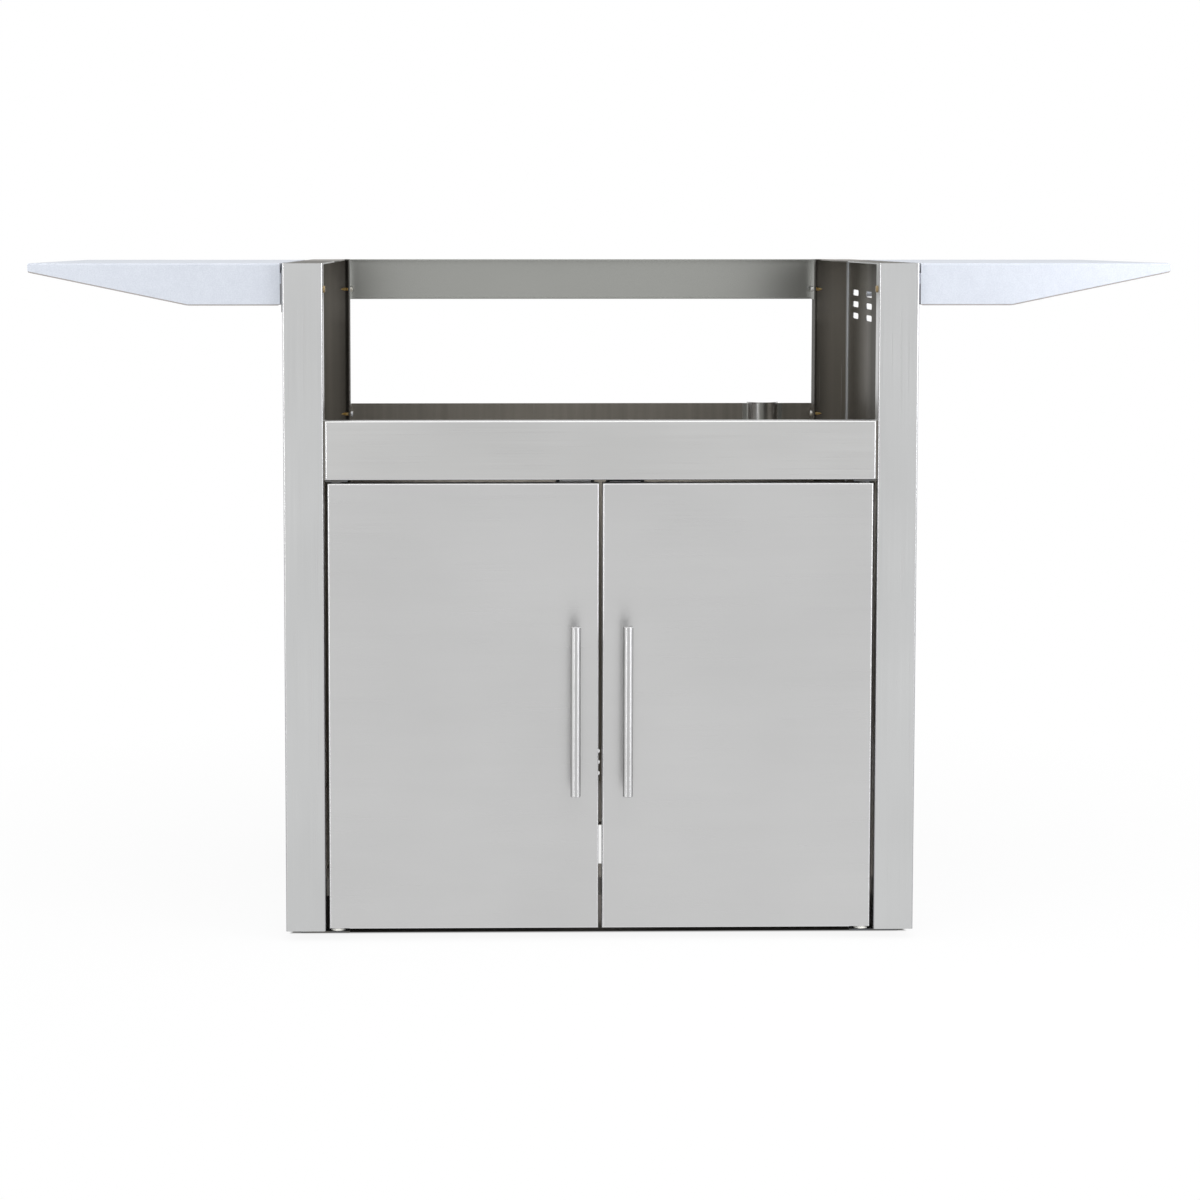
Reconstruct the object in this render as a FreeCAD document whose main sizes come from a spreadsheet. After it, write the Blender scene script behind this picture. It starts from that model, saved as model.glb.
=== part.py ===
import FreeCAD, Part
import os
import Sketcher

# Outdoor oven cart: a folded sheet-steel cabinet on casters, with an open bay for the oven,
# two doors below it and a folding shelf on each side.
# X runs to the right, the front faces -Y, and Z = 0 is the ground. Lengths are in millimetres.

os.makedirs("parts", exist_ok=True)
doc = FreeCAD.newDocument("oven_cart")

SIZES = {
    # Cabinet
    "cart_width": 760,
    "cart_depth": 600,
    "cart_height": 819,
    "ground_gap": 12,
    "sheet": 1.5,
    "bend_radius": 2,
    "post_face": 48,
    "rear_post_face": 53,
    "front_return": 25,
    "rear_return": 36,
    "foot_flange": 16,
    # Vent slots in the side panels and the back panel
    "vent_length": 54,
    "vent_height": 8,
    "vent_pitch": 16,
    "vent_drop": 46,
    "vent_setback": 400,
    "vent_column_gap": 124,
    "back_vent_rise": 12,
    "back_vent_column_gap": 66,
    # Bolt holes for the oven in the seats
    "oven_bolt_radius": 4.5,
    "oven_bolt_inset": 80,
    # Front rail
    "rail_height": 71,
    "rail_reveal": 2,
    "rail_joggle": 4,
    "rail_top_flange": 18,
    "rail_bottom_flange": 36,
    # Rear rail and back panel
    "rear_inset": 2,
    "rear_rail_height": 56,
    "rear_rail_lip": 12,
    "back_height": 603,
    "back_foot_lip": 20,
    # Floors
    "bay_flange": 20,
    "floor_lip": 22,
    "cylinder_hole_radius": 120,
    "cylinder_hole_setback": 215,
    # Hose guide
    "guide_place": 257,
    "guide_radius": 22,
    "guide_ear": 6,
    "guide_rise": 2,
    "hose_hole_radius": 7,
    "hose_hole_setback": 11,
    # Doors
    "door_gap": 4.5,
    "door_top_gap": 4,
    "door_lift": 3,
    "door_height": 541,
    "door_thickness": 20,
    "door_sheet": 1,
    "liner_inset": 1,
    # Door pivots
    "hinge_inset": 10,
    "hinge_depth": 10,
    "pin_radius": 4,
    "pin_reach": 16,
    "pin_chamfer": 1,
    "pin_play": 0.06,
    "bush_radius": 6,
    "bush_flange_radius": 8.5,
    "bush_length": 20,
    "pivot_plate": 2,
    "pivot_plate_margin": 14,
    "pivot_plate_width": 20,
    "pivot_plate_setback": 1,
    "pivot_plate_overlap": 30,
    "end_play": 0.3,
    # Door catches
    "catch_length": 46,
    "catch_height": 14,
    "catch_depth": 13,
    "catch_margin": 5,
    "catch_gap": 0.4,
    "strike_thickness": 1.2,
    "strike_height": 13,
    "strike_margin": 2,
    # Door handles
    "handle_diameter": 12,
    "handle_length": 205,
    "handle_reach": 34,
    "handle_inset": 29,
    "handle_post_radius": 4,
    "handle_post_gap": 144,
    "handle_end_round": 1,
    "handle_screw_radius": 2.5,
    "handle_screw_depth": 14,
    "handle_screw_head_radius": 4.5,
    "handle_screw_head_height": 3,
    # Shelves
    "shelf_length": 300,
    "shelf_depth": 478,
    "shelf_setback": 12,
    "shelf_gap": 3.5,
    "shelf_sheet": 1.2,
    "shelf_drop": 50.5,
    "shelf_tip": 11,
    "shelf_flat": 110,
    "shelf_kink_radius": 30,
    "shelf_corner_radius": 3,
    "shelf_lip": 12,
    "pivot_inset": 8,
    "pivot_rise": 8,
    "stud_radius": 4,
    "stud_end": 1.5,
    "bracket_plate": 2,
    "bracket_length": 50,
    "bracket_below": 16,
    "bracket_above": 34,
    "ear_gap": 0.5,
    "ear_margin": 8,
    "ear_below": 7,
    "ear_above": 18,
    "stiffener_width": 40,
    "stiffener_flange": 10,
    "stiffener_height": 7,
    "stiffener_start": 50,
    "stiffener_end": 25,
    # Casters
    "caster_inset": 80,
    "caster_setback": 105,
    "caster_plate": 2.5,
    "caster_plate_length": 76,
    "caster_plate_width": 60,
    "caster_lead": 20,
    "wheel_diameter": 50,
    "tyre_width": 20,
    "tyre_round": 3,
    "hub_radius": 17,
    "hub_width": 22,
    "hub_boss_radius": 8,
    "hub_web": 8,
    "hub_rim": 3,
    "axle_radius": 3,
    "axle_play": 0.06,
    "axle_head_radius": 5.5,
    "axle_head_height": 4,
    "fork_sheet": 2.5,
    "fork_gap": 0.4,
    "fork_eye_radius": 8,
    "fork_top_width": 28,
    "crown_radius": 20,
    "crown_gap": 6,
    "crown_height": 11.1,
    "swivel_play": 0.4,
    "kingpin_radius": 5,
    "kingpin_play": 0.06,
    "kingpin_head_radius": 8,
    "kingpin_head_height": 2.4,
    "caster_bolt_radius": 3,
    "caster_bolt_gap_x": 56,
    "caster_bolt_gap_y": 44,
    "caster_bolt_flats": 10,
    "caster_bolt_head_height": 4,
    "caster_nut_height": 5,
    "caster_bolt_end": 1,
    # Screws of the rails and panels
    "screw_radius": 2.1,
    "screw_head_radius": 4.2,
    "screw_head_top_radius": 3.2,
    "screw_head_height": 2.4,
    "screw_shank": 9,
    "screw_tip": 5,
    "screw_tip_radius": 0.3,
    "screw_edge": 14,
    "oven_screw_drop": 31,
    # Rivets of the floors
    "rivet_radius": 1.6,
    "rivet_head_radius": 3.2,
    "rivet_head_height": 1.2,
    "rivet_tail_radius": 2.4,
    "rivet_tail": 3,
    "rivet_edge": 10,
    "rivet_end": 40,
}
VENT_ROWS = 3
VENT_COLUMNS = 2
BACK_VENT_COLUMNS = 5
BACK_SCREWS = 3
FLOOR_RIVETS = 4

dim = doc.addObject("Spreadsheet::Sheet", "dim")
for row, (alias, size) in enumerate(SIZES.items(), start=1):
    dim.set(f"A{row}", alias)
    dim.set(f"B{row}", str(size))
    dim.setAlias(f"B{row}", alias)
doc.recompute()

# Places that several pieces share
HALF = "(dim.cart_width / 2)"
WALL = f"({HALF} - dim.sheet)"
OPEN = f"({HALF} - dim.post_face)"
TAB = f"({OPEN} - dim.sheet)"
REAR_OPEN = f"({HALF} - dim.rear_post_face)"
REAR_TAB = f"({REAR_OPEN} - dim.sheet)"
FRONT = "(-(dim.cart_depth - dim.handle_reach - dim.handle_diameter / 2) / 2)"
REAR = f"({FRONT} + dim.cart_depth)"
POST_BACK = f"({FRONT} + dim.front_return)"
REAR_POST = f"({REAR} - dim.rear_return)"
BACK_OUT = f"({REAR} - dim.rear_inset)"
BACK_IN = f"({BACK_OUT} - dim.sheet)"
BOTTOM = "dim.ground_gap"
TOP = "dim.cart_height"
BACK_TOP = f"({BOTTOM} + dim.back_height)"
REAR_RAIL_LOW = f"({TOP} - dim.rear_rail_height)"
DOOR_LOW = f"({BOTTOM} + dim.door_lift)"
DOOR_HIGH = f"({DOOR_LOW} + dim.door_height)"
DOOR_IN = "(dim.door_gap / 2)"
DOOR_OUT = f"({OPEN} - dim.door_gap)"
DOOR_BACK = f"({FRONT} + dim.door_thickness)"
LINER_BACK = f"({DOOR_BACK} - dim.liner_inset)"
RAIL_LOW = f"({DOOR_HIGH} + dim.door_top_gap)"
RAIL_HIGH = f"({RAIL_LOW} + dim.rail_height)"
BAY = f"({RAIL_LOW} + dim.sheet)"
CROWN_LOW = "(dim.wheel_diameter + dim.crown_gap)"
CROWN_HIGH = f"({CROWN_LOW} + dim.crown_height)"
CASTER_TOP = f"({CROWN_HIGH} + dim.swivel_play + dim.caster_plate)"
FLOOR = f"({CASTER_TOP} + dim.sheet)"
HINGE_X = f"({DOOR_OUT} - dim.hinge_inset)"
HINGE_Y = f"({FRONT} + dim.hinge_depth)"
SHELF_IN = f"({HALF} + dim.shelf_gap)"
SHELF_OUT = f"({SHELF_IN} + dim.shelf_length)"
SHELF_FRONT = f"({FRONT} + dim.shelf_setback)"
SHELF_REAR = f"({SHELF_FRONT} + dim.shelf_depth)"
SHELF_LOW = f"({TOP} - dim.shelf_drop)"
PIVOT_X = f"({SHELF_IN} + dim.pivot_inset)"
PIVOT_Z = f"({SHELF_LOW} + dim.pivot_rise)"
HANDLE_X = f"({DOOR_IN} + dim.handle_inset)"
HANDLE_Y = f"({FRONT} - dim.handle_reach)"
HANDLE_Z = f"({DOOR_LOW} + dim.door_height / 2)"
RAIL_SCREW_Y = f"({FRONT} + (dim.rail_joggle + dim.front_return) / 2)"
REAR_SCREW_Y = f"({REAR} - (dim.rear_return + dim.rear_inset) / 2)"

RAIL_SCREWS = [(RAIL_SCREW_Y, f"{RAIL_LOW} + dim.screw_edge"),
               (RAIL_SCREW_Y, f"{RAIL_HIGH} - dim.screw_edge")]
REAR_RAIL_SCREWS = [(REAR_SCREW_Y, f"{REAR_RAIL_LOW} + dim.screw_edge")]
BACK_PANEL_SCREWS = [(REAR_SCREW_Y, f"{FLOOR} + dim.screw_edge + ({BACK_TOP} - 2 * dim.screw_edge - {FLOOR})"
                                    f" * {step} / {BACK_SCREWS - 1}") for step in range(BACK_SCREWS)]
OVEN_SCREWS = [(RAIL_SCREW_Y, f"{TOP} - dim.oven_screw_drop")]

RIVET_Y = [f"{POST_BACK} + dim.rivet_end + ({REAR_POST} - {POST_BACK} - 2 * dim.rivet_end)"
           f" * {step} / {FLOOR_RIVETS - 1}" for step in range(FLOOR_RIVETS)]
BAY_RIVETS = [(y, f"{BAY} + dim.bay_flange - dim.rivet_edge") for y in RIVET_Y]
FLOOR_RIVET_PLACES = [(y, f"{FLOOR} - dim.floor_lip + dim.rivet_edge") for y in RIVET_Y]

DIRECTIONS = {
    "x": FreeCAD.Vector(1, 0, 0),
    "y": FreeCAD.Vector(0, 1, 0),
    "z": FreeCAD.Vector(0, 0, 1),
}
NEAR = 1e-4
nodes = []


def value(expression):
    return float(dim.evalExpression(expression))


def centred(expression):
    return (f"-({expression})", expression)


def box(name, x, y, z):
    """Block between two places along each direction."""
    piece = doc.addObject("Part::Box", name)
    for size, axis, (low, high) in (("Length", "x", x), ("Width", "y", y), ("Height", "z", z)):
        piece.setExpression(size, f"({high}) - ({low})")
        piece.setExpression(f"Placement.Base.{axis}", low)
    return piece


def along(piece, axis, span, place):
    """Turn an upright piece from Z to the axis, between two places on it."""
    low, high = span
    piece.Placement = FreeCAD.Placement(FreeCAD.Vector(), FreeCAD.Rotation(DIRECTIONS["z"], DIRECTIONS[axis]))
    piece.setExpression("Height", f"({high}) - ({low})")
    for coordinate, expression in {**place, axis: low}.items():
        piece.setExpression(f"Placement.Base.{coordinate}", expression)
    return piece


def rod(name, axis, span, radius, **place):
    piece = doc.addObject("Part::Cylinder", name)
    piece.setExpression("Radius", radius)
    return along(piece, axis, span, place)


def cone(name, axis, span, radii, **place):
    piece = doc.addObject("Part::Cone", name)
    piece.setExpression("Radius1", radii[0])
    piece.setExpression("Radius2", radii[1])
    return along(piece, axis, span, place)


def hexagon(name, span, **place):
    """Upright six-sided block for a caster bolt's head or nut, sized across its flats."""
    piece = doc.addObject("Part::Prism", name)
    piece.Polygon = 6
    piece.setExpression("Circumradius", "dim.caster_bolt_flats / sqrt(3)")
    return along(piece, "z", span, place)


def fuse(name, *pieces):
    whole = doc.addObject("Part::MultiFuse", name)
    whole.Shapes = list(pieces)
    whole.Refine = True
    return whole


def gather(name, pieces):
    whole = doc.addObject("Part::Compound", name)
    whole.Links = list(pieces)
    return whole


def cut(name, base, *tools):
    rest = doc.addObject("Part::Cut", name)
    rest.Base = base
    rest.Tool = tools[0] if len(tools) == 1 else gather(f"{name}_tools", tools)
    rest.Refine = True
    return rest


def mirrored(name, source):
    """The left-hand twin of a right-hand piece."""
    twin = doc.addObject("Part::Mirroring", name)
    twin.Source = source
    twin.Normal = DIRECTIONS["x"]
    return twin


def rounded(name, source, choices):
    """Round the edges that each test picks, with that test's radius alias."""
    doc.recompute()
    soft = doc.addObject("Part::Fillet", name)
    soft.Base = source
    soft.Edges = [(number, value(f"dim.{alias}"), value(f"dim.{alias}"))
                  for number, edge in enumerate(source.Shape.Edges, start=1)
                  for alias, wanted in choices if wanted(edge)]
    return soft


def lies_at(**places):
    """Test for a straight edge whose ends lie at the given coordinates."""
    def wanted(edge):
        if not isinstance(edge.Curve, Part.Line):
            return False
        return all(abs(getattr(end, axis.upper()) - value(place)) < NEAR
                   for end in edge.Vertexes for axis, place in places.items())
    return wanted


def sketch_on(body, name, role, corners):
    """Closed outline on an origin plane of the body, each corner held by its two places."""
    plane = [feature for feature in body.Origin.OriginFeatures if feature.Role == role][0]
    outline = body.newObject("Sketcher::SketchObject", name)
    outline.AttachmentSupport = [(plane, "")]
    outline.MapMode = "FlatFace"
    points = [FreeCAD.Vector(value(across), value(up), 0) for across, up in corners]
    for number, point in enumerate(points):
        outline.addGeometry(Part.LineSegment(point, points[(number + 1) % len(points)]))
    for number in range(len(points)):
        outline.addConstraint(Sketcher.Constraint("Coincident", number, 2, (number + 1) % len(points), 1))
    for number, (point, corner) in enumerate(zip(points, corners)):
        for kind, place, expression in (("DistanceX", point.x, corner[0]), ("DistanceY", point.y, corner[1])):
            limit = outline.addConstraint(Sketcher.Constraint(kind, -1, 1, number, 1, place))
            outline.renameConstraint(limit, f"{kind}_{number}")
            outline.setExpression(f"Constraints.{kind}_{number}", expression)
    return outline


def padded(name, role, corners, length, **place):
    """Outline on an origin plane, thickened along the plane's normal."""
    body = doc.addObject("PartDesign::Body", name)
    outline = sketch_on(body, f"{name}_outline", role, corners)
    pad = body.newObject("PartDesign::Pad", f"{name}_pad")
    pad.Profile = outline
    pad.setExpression("Length", length)
    for axis, expression in place.items():
        body.setExpression(f"Placement.Base.{axis}", expression)
    return body


def turned(name, spindle, corners, **place):
    """Outline in the XZ plane, turned about that plane's X or Z line."""
    body = doc.addObject("PartDesign::Body", name)
    outline = sketch_on(body, f"{name}_outline", "XZ_Plane", corners)
    spin = body.newObject("PartDesign::Revolution", f"{name}_spin")
    spin.Profile = outline
    spin.ReferenceAxis = (outline, [{"x": "H_Axis", "z": "V_Axis"}[spindle]])
    spin.Angle = 360
    for axis, expression in place.items():
        body.setExpression(f"Placement.Base.{axis}", expression)
    return body


def keep(piece, label):
    """Mark a finished piece as a node of the cart."""
    piece.Label = label
    nodes.append(piece)


def keep_pair(piece, label):
    """Keep a right-hand piece and its left-hand twin."""
    keep(piece, f"{label}_right")
    keep(mirrored(f"{label}_twin", piece), f"{label}_left")


def keep_group(pieces, label):
    """Keep right-hand pieces and their left-hand twins as one node."""
    twins = [mirrored(f"{piece.Name}_twin", piece) for piece in pieces]
    keep(gather(f"{label}_group", pieces + twins), label)


def slot(name, through, lengthwise, span, centre, height):
    """Slot with round ends, cut along one direction and long in another."""
    half = "(dim.vent_length - dim.vent_height) / 2"
    radius = "dim.vent_height / 2"
    ranges = {
        through: span,
        lengthwise: (f"{centre} - {half}", f"{centre} + {half}"),
        "z": (f"{height} - {radius}", f"{height} + {radius}"),
    }
    ends = [rod(f"{name}_end", through, span, radius, **{lengthwise: place, "z": height})
            for place in ranges[lengthwise]]
    return fuse(name, box(f"{name}_middle", **ranges), *ends)


def screw_holes(name, places, opening=OPEN):
    """Holes for screws through a post return and the flange beside it."""
    reach = "(dim.sheet + dim.screw_head_height)"
    span = (f"{opening} - {reach}", f"{opening} + {reach}")
    return [rod(name, "x", span, "dim.screw_radius", y=y, z=z) for y, z in places]


def both_ends(tools):
    return tools + [mirrored(f"{tool.Name}_twin", tool) for tool in tools]


def rivet_holes(name, places):
    span = (f"{HALF} - 2 * dim.sheet - dim.rivet_tail", f"{HALF} + dim.rivet_head_height")
    return [rod(name, "x", span, "dim.rivet_radius", y=y, z=z) for y, z in places]


def side_panels():
    """Bent sheet with a front post, a rear post, the oven's seat on top and a foot flange."""
    upright = (BOTTOM, TOP)
    depth = (FRONT, REAR)
    seat = (f"{TOP} - dim.sheet", TOP)
    sheet = fuse(
        "side_sheet",
        box("side_wall", (WALL, HALF), depth, upright),
        box("side_front_face", (OPEN, HALF), (FRONT, f"{FRONT} + dim.sheet"), upright),
        box("side_front_return", (OPEN, f"{OPEN} + dim.sheet"), (FRONT, POST_BACK), upright),
        box("side_rear_face", (REAR_OPEN, HALF), (f"{REAR} - dim.sheet", REAR), upright),
        box("side_rear_return", (REAR_OPEN, f"{REAR_OPEN} + dim.sheet"), (REAR_POST, REAR), upright),
        box("side_seat", (OPEN, HALF), depth, seat),
        box("side_seat_rear", (REAR_OPEN, HALF), (REAR_POST, REAR), seat),
        box("side_foot", (f"{HALF} - dim.foot_flange", HALF), depth, (BOTTOM, f"{BOTTOM} + dim.sheet")),
    )
    through = (f"{WALL} - dim.sheet", f"{HALF} + dim.sheet")
    vents = [slot("side_vent", "x", "y", through,
                  f"({FRONT} + dim.vent_setback + {column} * dim.vent_column_gap)",
                  f"({TOP} - dim.vent_drop - {row} * dim.vent_pitch)")
             for column in range(VENT_COLUMNS) for row in range(VENT_ROWS)]
    bolt_span = (f"{TOP} - 2 * dim.sheet", f"{TOP} + dim.sheet")
    bolts = [rod("oven_bolt_hole", "z", bolt_span, "dim.oven_bolt_radius",
                 x=f"{HALF} - dim.post_face / 2", y=y)
             for y in (f"{FRONT} + dim.oven_bolt_inset", f"{REAR} - dim.oven_bolt_inset")]
    screws = (screw_holes("side_screw_hole", RAIL_SCREWS + OVEN_SCREWS)
              + screw_holes("side_rear_screw_hole", REAR_RAIL_SCREWS + BACK_PANEL_SCREWS, REAR_OPEN))
    rivets = rivet_holes("side_rivet_hole", BAY_RIVETS + FLOOR_RIVET_PLACES)
    drilled = cut("side_drilled", sheet, *vents, *bolts, *screws, *rivets)
    bends = ((OPEN, FRONT), (HALF, FRONT), (REAR_OPEN, REAR), (HALF, REAR))
    corners = [("bend_radius", lies_at(x=x, y=y)) for x, y in bends]
    keep_pair(rounded("side_panel", drilled, corners), "side_panel")


def front_rail():
    """Channel between the front posts, with stepped end flanges."""
    high = (RAIL_LOW, RAIL_HIGH)
    face = f"({OPEN} - dim.rail_reveal)"
    step = f"({FRONT} + dim.rail_joggle)"
    top = (f"{RAIL_HIGH} - dim.sheet", RAIL_HIGH)
    bottom = (RAIL_LOW, f"{RAIL_LOW} + dim.sheet")
    ends = [
        box("rail_end_return", (f"{face} - dim.sheet", face), (FRONT, f"{step} + dim.sheet"), high),
        box("rail_end_step", (f"{face} - dim.sheet", OPEN), (step, f"{step} + dim.sheet"), high),
        box("rail_end_tab", (TAB, OPEN), (step, POST_BACK), high),
    ]
    channel = fuse(
        "rail_channel",
        box("rail_face", centred(face), (FRONT, f"{FRONT} + dim.sheet"), high),
        box("rail_top_front", centred(face), (FRONT, step), top),
        box("rail_top_rear", centred(OPEN), (step, f"{FRONT} + dim.rail_top_flange"), top),
        box("rail_bottom_front", centred(face), (FRONT, step), bottom),
        box("rail_bottom_rear", centred(OPEN), (step, f"{FRONT} + dim.rail_bottom_flange"), bottom),
        *both_ends(ends),
    )
    drilled = cut("rail_drilled", channel, *both_ends(screw_holes("rail_screw_hole", RAIL_SCREWS)))
    keep(rounded("front_rail", drilled, [("bend_radius", lies_at(y=FRONT))]), "front_rail")


def pan(name, high):
    """Sheet between the rear posts with a forward flange at each end."""
    end = box(f"{name}_end", (REAR_TAB, REAR_OPEN), (REAR_POST, BACK_OUT), high)
    return [box(f"{name}_face", centred(REAR_OPEN), (BACK_IN, BACK_OUT), high), *both_ends([end])]


def upper_rear_rail():
    top = (f"{TOP} - dim.sheet", TOP)
    bottom = (REAR_RAIL_LOW, f"{REAR_RAIL_LOW} + dim.sheet")
    lip = (f"{BACK_OUT} - dim.rear_rail_lip", BACK_OUT)
    rail = fuse(
        "rear_rail_sheet",
        *pan("rear_rail", (REAR_RAIL_LOW, TOP)),
        box("rear_rail_top", centred(REAR_OPEN), (REAR_POST, BACK_OUT), top),
        box("rear_rail_bottom", centred(REAR_OPEN), lip, bottom),
    )
    holes = both_ends(screw_holes("rear_rail_hole", REAR_RAIL_SCREWS, REAR_OPEN))
    keep(cut("upper_rear_rail", rail, *holes), "upper_rear_rail")


def back_panel():
    """Panel that closes the cabinet behind, with low vents."""
    foot = (BOTTOM, f"{BOTTOM} + dim.sheet")
    panel = fuse(
        "back_sheet",
        *pan("back", (BOTTOM, BACK_TOP)),
        box("back_foot", centred(REAR_OPEN), (f"{BACK_OUT} - dim.back_foot_lip", BACK_OUT), foot),
    )
    middle = (BACK_VENT_COLUMNS - 1) / 2
    vents = [slot("back_vent", "y", "x", (f"{BACK_IN} - dim.sheet", f"{BACK_OUT} + dim.sheet"),
                  f"({column - middle} * dim.back_vent_column_gap)",
                  f"({FLOOR} + dim.back_vent_rise + {row} * dim.vent_pitch)")
             for column in range(BACK_VENT_COLUMNS) for row in range(VENT_ROWS)]
    holes = both_ends(screw_holes("back_hole", BACK_PANEL_SCREWS, REAR_OPEN))
    keep(cut("back_panel", panel, *vents, *holes), "back_panel")


def floor_sheet(name, level, flange):
    """Level sheet between the side panels, notched at the posts, with flanges on the side panels."""
    ends = [box(f"{name}_flange", (f"{WALL} - dim.sheet", WALL), (POST_BACK, REAR_POST), flange)]
    return [
        box(f"{name}_middle", centred(WALL), (POST_BACK, REAR_POST), level),
        box(f"{name}_rear", centred(REAR_TAB), (REAR_POST, BACK_IN), level),
        *both_ends(ends),
    ]


def bay_floor():
    """Heat shield under the oven, resting in the front rail."""
    level = (BAY, f"{BAY} + dim.sheet")
    sheet = fuse(
        "bay_sheet",
        *floor_sheet("bay", level, (BAY, f"{BAY} + dim.bay_flange")),
        box("bay_front", centred(TAB), (f"{FRONT} + dim.rail_joggle + dim.sheet", POST_BACK), level),
    )
    hose = rod("hose_hole", "z", (RAIL_LOW, f"{BAY} + 2 * dim.sheet"), "dim.hose_hole_radius",
               x="dim.guide_place", y=f"{BACK_IN} - dim.hose_hole_setback")
    keep(cut("bay_floor", sheet, hose, *both_ends(rivet_holes("bay_hole", BAY_RIVETS))), "bay_floor")


def caster_places():
    """Swivel axis and trailing direction of the right-hand casters."""
    across = f"({HALF} - dim.caster_inset)"
    return {
        "front": (across, f"({FRONT} + dim.caster_setback)", -1),
        "rear": (across, f"({REAR} - dim.caster_setback)", 1),
    }


def bolts_round(x, y):
    """Places of the four bolts round one caster's swivel axis."""
    return [(f"{x} + {side} * dim.caster_bolt_gap_x / 2", f"{y} + {end} * dim.caster_bolt_gap_y / 2")
            for side in (-1, 1) for end in (-1, 1)]


def caster_bolt_places():
    return [place for x, y, _ in caster_places().values() for place in bolts_round(x, y)]


def cabinet_floor():
    """Raised floor with the opening for a gas cylinder, carrying the casters."""
    level = (CASTER_TOP, FLOOR)
    lip = (f"{FLOOR} - dim.floor_lip", FLOOR)
    sheet = fuse(
        "floor_sheet",
        *floor_sheet("floor", level, lip),
        box("floor_front_lip", centred(WALL), (POST_BACK, f"{POST_BACK} + dim.sheet"), lip),
        box("floor_rear_lip", centred(REAR_TAB), (f"{BACK_IN} - dim.sheet", BACK_IN), lip),
    )
    through = (f"{CASTER_TOP} - dim.sheet", f"{FLOOR} + dim.sheet")
    cylinder = rod("cylinder_hole", "z", through, "dim.cylinder_hole_radius",
                   y=f"({FRONT} + dim.cylinder_hole_setback)")
    bolts = [rod("floor_bolt_hole", "z", through, "dim.caster_bolt_radius", x=x, y=y)
             for x, y in caster_bolt_places()]
    rivets = rivet_holes("floor_hole", FLOOR_RIVET_PLACES)
    keep(cut("cabinet_floor", sheet, cylinder, *both_ends(bolts + rivets)), "cabinet_floor")


def hose_guide():
    """Half-round guide on the back panel that leads a hose up from the cabinet."""
    high = (f"{BAY} + dim.sheet", f"{BACK_TOP} + dim.guide_rise")
    place = {"x": "dim.guide_place", "y": BACK_IN}
    outer = rod("guide_outer", "z", high, "dim.guide_radius", **place)
    inner = rod("guide_inner", "z", high, "dim.guide_radius - dim.sheet", **place)
    tube = cut("guide_tube", outer, inner)
    reach = "(dim.guide_radius + dim.guide_ear)"
    bore = "(dim.guide_radius - dim.sheet)"
    front = box("guide_front_half", (f"dim.guide_place - {reach}", f"dim.guide_place + {reach}"),
                (f"{BACK_IN} - {reach}", BACK_IN), high)
    half = doc.addObject("Part::Common", "guide_half")
    half.Base = tube
    half.Tool = front
    ear_depth = (f"{BACK_IN} - dim.sheet", BACK_IN)
    ear_height = (f"{BAY} + dim.sheet", BACK_TOP)
    ears = [
        box("guide_ear_right", (f"dim.guide_place + {bore}", f"dim.guide_place + {reach}"),
            ear_depth, ear_height),
        box("guide_ear_left", (f"dim.guide_place - {reach}", f"dim.guide_place - {bore}"),
            ear_depth, ear_height),
    ]
    keep(fuse("hose_guide", half, *ears), "hose_guide")


def panel_screws():
    """Tapping screws that hold the rails and the back panel to the post returns."""
    def screw(seat, y, z):
        head = (f"{seat} - dim.screw_head_height", seat)
        shank = (seat, f"{seat} + dim.screw_shank")
        tip = (shank[1], f"{shank[1]} + dim.screw_tip")
        return fuse(
            "panel_screw",
            cone("screw_head", "x", head, ("dim.screw_head_top_radius", "dim.screw_head_radius"), y=y, z=z),
            rod("screw_shank", "x", shank, "dim.screw_radius", y=y, z=z),
            cone("screw_tip", "x", tip, ("dim.screw_radius", "dim.screw_tip_radius"), y=y, z=z),
        )

    front = [screw(TAB, y, z) for y, z in RAIL_SCREWS]
    rear = [screw(REAR_TAB, y, z) for y, z in REAR_RAIL_SCREWS + BACK_PANEL_SCREWS]
    oven = [screw(OPEN, y, z) for y, z in OVEN_SCREWS]
    keep_group(front + rear + oven, "panel_screws")


def floor_rivets():
    """Blind rivets that hold both floors to the side panels."""
    def rivet(y, z):
        inside = f"({HALF} - 2 * dim.sheet)"
        head = (HALF, f"{HALF} + dim.rivet_head_height")
        tail = (f"{inside} - dim.rivet_tail", inside)
        return fuse(
            "floor_rivet",
            cone("rivet_head", "x", head, ("dim.rivet_head_radius", "dim.rivet_tail_radius"), y=y, z=z),
            rod("rivet_shank", "x", (inside, HALF), "dim.rivet_radius", y=y, z=z),
            rod("rivet_tail", "x", tail, "dim.rivet_tail_radius", y=y, z=z),
        )

    keep_group([rivet(y, z) for y, z in BAY_RIVETS + FLOOR_RIVET_PLACES], "floor_rivets")


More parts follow.
